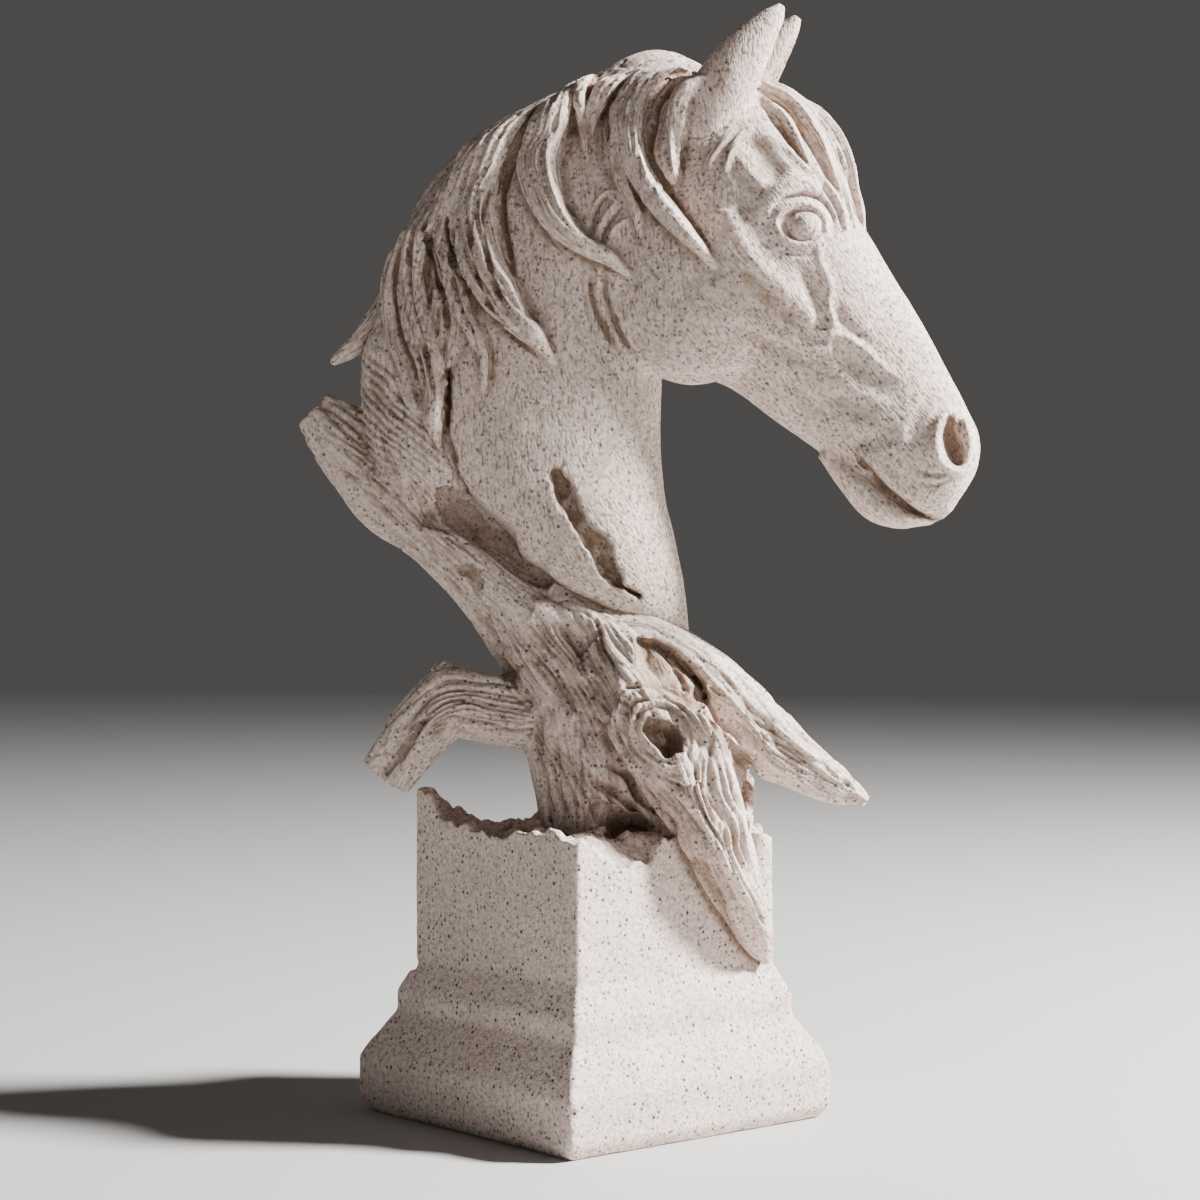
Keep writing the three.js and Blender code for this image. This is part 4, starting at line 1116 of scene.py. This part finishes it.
def grains(size, share, reach):
    """Round grains in that share of the cells, each of its own size."""
    cells = pattern("ShaderNodeTexVoronoi", size, place.outputs["Object"])
    tone = nodes.new("ShaderNodeSeparateColor")
    links.new(cells.outputs["Color"], tone.inputs["Color"])
    chosen = mapped(tone.outputs["Red"], 1 - share, 1 - share + 0.01)
    width = mapped(tone.outputs["Green"], 0, 1, 0.35 * reach, reach)
    spot = mapped(combined(cells.outputs["Distance"], width, "DIVIDE"), 1.15, 0.8)
    depth = mapped(tone.outputs["Blue"], 0, 1, 0.25, 1.0)
    return combined(combined(spot, chosen, "MULTIPLY"), depth, "MULTIPLY")


umber_wash_and_shade = kept("umber_wash_and_shade").outputs["Fac"]
clouds = pattern("ShaderNodeTexNoise", 22, place.outputs["Object"], Detail=4.0).outputs["Fac"]
mottle = pattern("ShaderNodeTexNoise", 1.6, place.outputs["Object"], Detail=3.0).outputs["Fac"]
fibre_place = nodes.new("ShaderNodeVectorMath")
fibre_place.operation = "SCALE"
fibre_place.inputs["Scale"].default_value = MM
links.new(kept("grain").outputs["Vector"], fibre_place.inputs[0])
hairs = pattern("ShaderNodeTexNoise", 0.9, fibre_place.outputs[0], Detail=2.0).outputs["Fac"]
tone = mixed(mapped(mottle, 0.34, 0.6), TAN, PALE)
tone = mixed(mapped(clouds, 0.35, 0.7, 0.0, 0.35), tone, TAN)
fibre_dark = combined(mapped(hairs, 0.48, 0.3), kept("furry").outputs["Fac"], "MULTIPLY")
tone = mixed(combined(fibre_dark, 0.85, "MULTIPLY"), tone, UMBER)
# Umber where the hollow darkening is high: the brown wash left in the hollows, and painted shade in
# recesses and creases.
tone = mixed(mapped(umber_wash_and_shade, 0.03, 0.75, 0.0, 0.88), tone, UMBER)
dotted = mapped(kept("furry").outputs["Fac"], 0, 1, 1.0, 0.8)
tone = mixed(combined(grains(1.2, 0.55, 0.2), 0.6, "MULTIPLY"), tone, (0.92, 0.88, 0.85))
tone = mixed(combined(grains(1.5, 0.75, 0.42), dotted, "MULTIPLY"), tone, (0.36, 0.28, 0.23))
tone = mixed(combined(grains(1.8, 0.9, 0.4), dotted, "MULTIPLY"), tone, GREY)
links.new(tone, shader.inputs["Base Color"])
relief = nodes.new("ShaderNodeBump")
relief.inputs["Strength"].default_value = 0.5
relief.inputs["Distance"].default_value = 0.35 * MM
rough = combined(combined(mottle, 0.6, "MULTIPLY"), mapped(hairs, 0.3, 0.6, 0.0, 0.8), "ADD")
links.new(rough, relief.inputs["Height"])
links.new(relief.outputs["Normal"], shader.inputs["Normal"])


def thinned(piece, triangles):
    """Leaves about that many triangles, most of them where the surface turns most."""
    select_only(piece)
    decimate = piece.modifiers.new("thin", "DECIMATE")
    decimate.ratio = min(1.0, triangles / (2 * len(piece.data.polygons)))
    bpy.ops.object.modifier_apply(modifier="thin")
    bpy.ops.object.shade_smooth()


def boxed(grid, reach):
    """Mean over a cube of so many cells each way, by running sums along each axis."""
    for axis in range(3):
        pad = [(0, 0)] * 3
        pad[axis] = (reach + 1, reach)
        total = np.cumsum(np.pad(grid, pad, mode="edge"), axis=axis, dtype=np.float32)
        wide = 2 * reach + 1
        high = np.take(total, range(wide, total.shape[axis]), axis=axis)
        low = np.take(total, range(0, total.shape[axis] - wide), axis=axis)
        grid = (high - low) / wide
    return grid


OPEN_FILL, GAP_FILL = 0.41, 0.71
LIFT = 0.35


def shelter(piece, clays, reach):
    """How far each vertex lies in a hollow: 0 on open surfaces, 1 deep in a gap."""
    step = reach / 3
    low, high = np.array(cad_box) / MM
    axes = [np.arange(a - 6, b + 6, step) for a, b in zip(low, high)]
    shape = [len(axis) for axis in axes]
    filled = np.zeros(shape, dtype=np.float32)
    for clay in clays:
        picks = [np.round(axis / clay.voxel).astype(int) - f for axis, f in zip(axes, clay.first)]
        inside = [(pick >= 0) & (pick < n) for pick, n in zip(picks, clay.field.shape)]
        block = clay.field[np.ix_(*[pick[ok] for pick, ok in zip(picks, inside)])] < 0
        target = np.ix_(*[np.flatnonzero(ok) for ok in inside])
        filled[target] = np.maximum(filled[target], block)
    filled = boxed(boxed(filled, 2), 1)
    above = vectors(piece, "co") / MM + vectors(piece, "normal") * reach * LIFT
    index = np.round((above - [axis[0] for axis in axes]) / step).astype(int)
    index = np.clip(index, 0, np.array(shape) - 1)
    return np.clip((filled[tuple(index.T)] - OPEN_FILL) / (GAP_FILL - OPEN_FILL), 0, 1)


all_clay = (plinth, wood, horse)
PLINTH_TRIANGLES, WOOD_TRIANGLES, HORSE_TRIANGLES = 90000, 196000, 196000
# Per piece: the darkening of its grooves and cuts, the weight of the darkening of its hollows (highest on
# the plinth, for the painted shadow beside the root and under the wood), whether it is furry, and its
# triangle budget.
for piece, grooves_wash_and_shade, enclosure_wash_and_shade, furry, triangles in (
    (plinth_piece, 0.0, 1.2, 0.0, PLINTH_TRIANGLES),
    (wood_piece, wood_wash_and_shade, 0.2, 0.5, WOOD_TRIANGLES),
    (horse_piece, horse_wash_and_shade, 0.62, 1.0, HORSE_TRIANGLES),
):
    # Darker the more enclosed each vertex is by all three clays: partly the brown wash in hollows, partly
    # painted shade in recesses, and a painted shadow on the plinth beside the wood.
    wide = shelter(piece, all_clay, 6.0)
    tight = shelter(piece, all_clay, 2.4)
    keep(piece, "umber_wash_and_shade", np.clip(enclosure_wash_and_shade * (wide + 0.7 * tight) + 0.7 * grooves_wash_and_shade, 0, 1))
    keep(piece, "furry", np.full(len(piece.data.vertices), furry))
    if "grain" not in piece.data.attributes:
        keep(piece, "grain", vectors(piece, "co") / MM)
    thinned(piece, triangles)
    piece.data.materials.append(stone)

# Floor, lights and camera
# A pale table top, a large soft key light from the horse's front, and the photograph's view.
bpy.ops.object.select_all(action="DESELECT")
bpy.ops.mesh.primitive_plane_add(size=6, location=(0, 1.2, 0))
floor = bpy.context.object
floor.name = "pale_floor"
pale = bpy.data.materials.new("pale_floor")
pale.use_nodes = True
pale.node_tree.nodes["Principled BSDF"].inputs["Base Color"].default_value = (0.5, 0.49, 0.48, 1)
pale.node_tree.nodes["Principled BSDF"].inputs["Roughness"].default_value = 0.7
floor.data.materials.append(pale)


def soft_light(name, place, turn, size, watts):
    bpy.ops.object.light_add(type="AREA", location=place, rotation=turn)
    lamp = bpy.context.object
    lamp.name = name
    lamp.data.shape = "DISK"
    lamp.data.size = size
    lamp.data.energy = watts


soft_light("key", (1.36, -0.02, 1.05), (0, 1.009, -0.015), 0.3, 180)
soft_light("fill", (-0.7, -1.5, 0.6), (1.33, 0, -0.437), 1.2, 0.6)

world = bpy.data.worlds.new("studio")
world.use_nodes = True
world.node_tree.nodes["Background"].inputs["Color"].default_value = (1, 0.95, 0.92, 1)
world.node_tree.nodes["Background"].inputs["Strength"].default_value = 0.08
bpy.context.scene.world = world

VIEW_TURN = math.radians(4.9)
VIEW_DISTANCE = 0.940
VIEW_HEIGHT = 0.1833
VIEW_SIDESTEP = 0.00233
bpy.ops.object.camera_add(
    location=(
        VIEW_DISTANCE * math.sin(VIEW_TURN) + VIEW_SIDESTEP * math.cos(VIEW_TURN),
        -VIEW_DISTANCE * math.cos(VIEW_TURN) + VIEW_SIDESTEP * math.sin(VIEW_TURN),
        VIEW_HEIGHT,
    ),
    rotation=(math.pi / 2, 0, VIEW_TURN),
)
camera = bpy.context.object
camera.data.lens = 79.02
camera.data.sensor_width = 36
bpy.context.scene.camera = camera
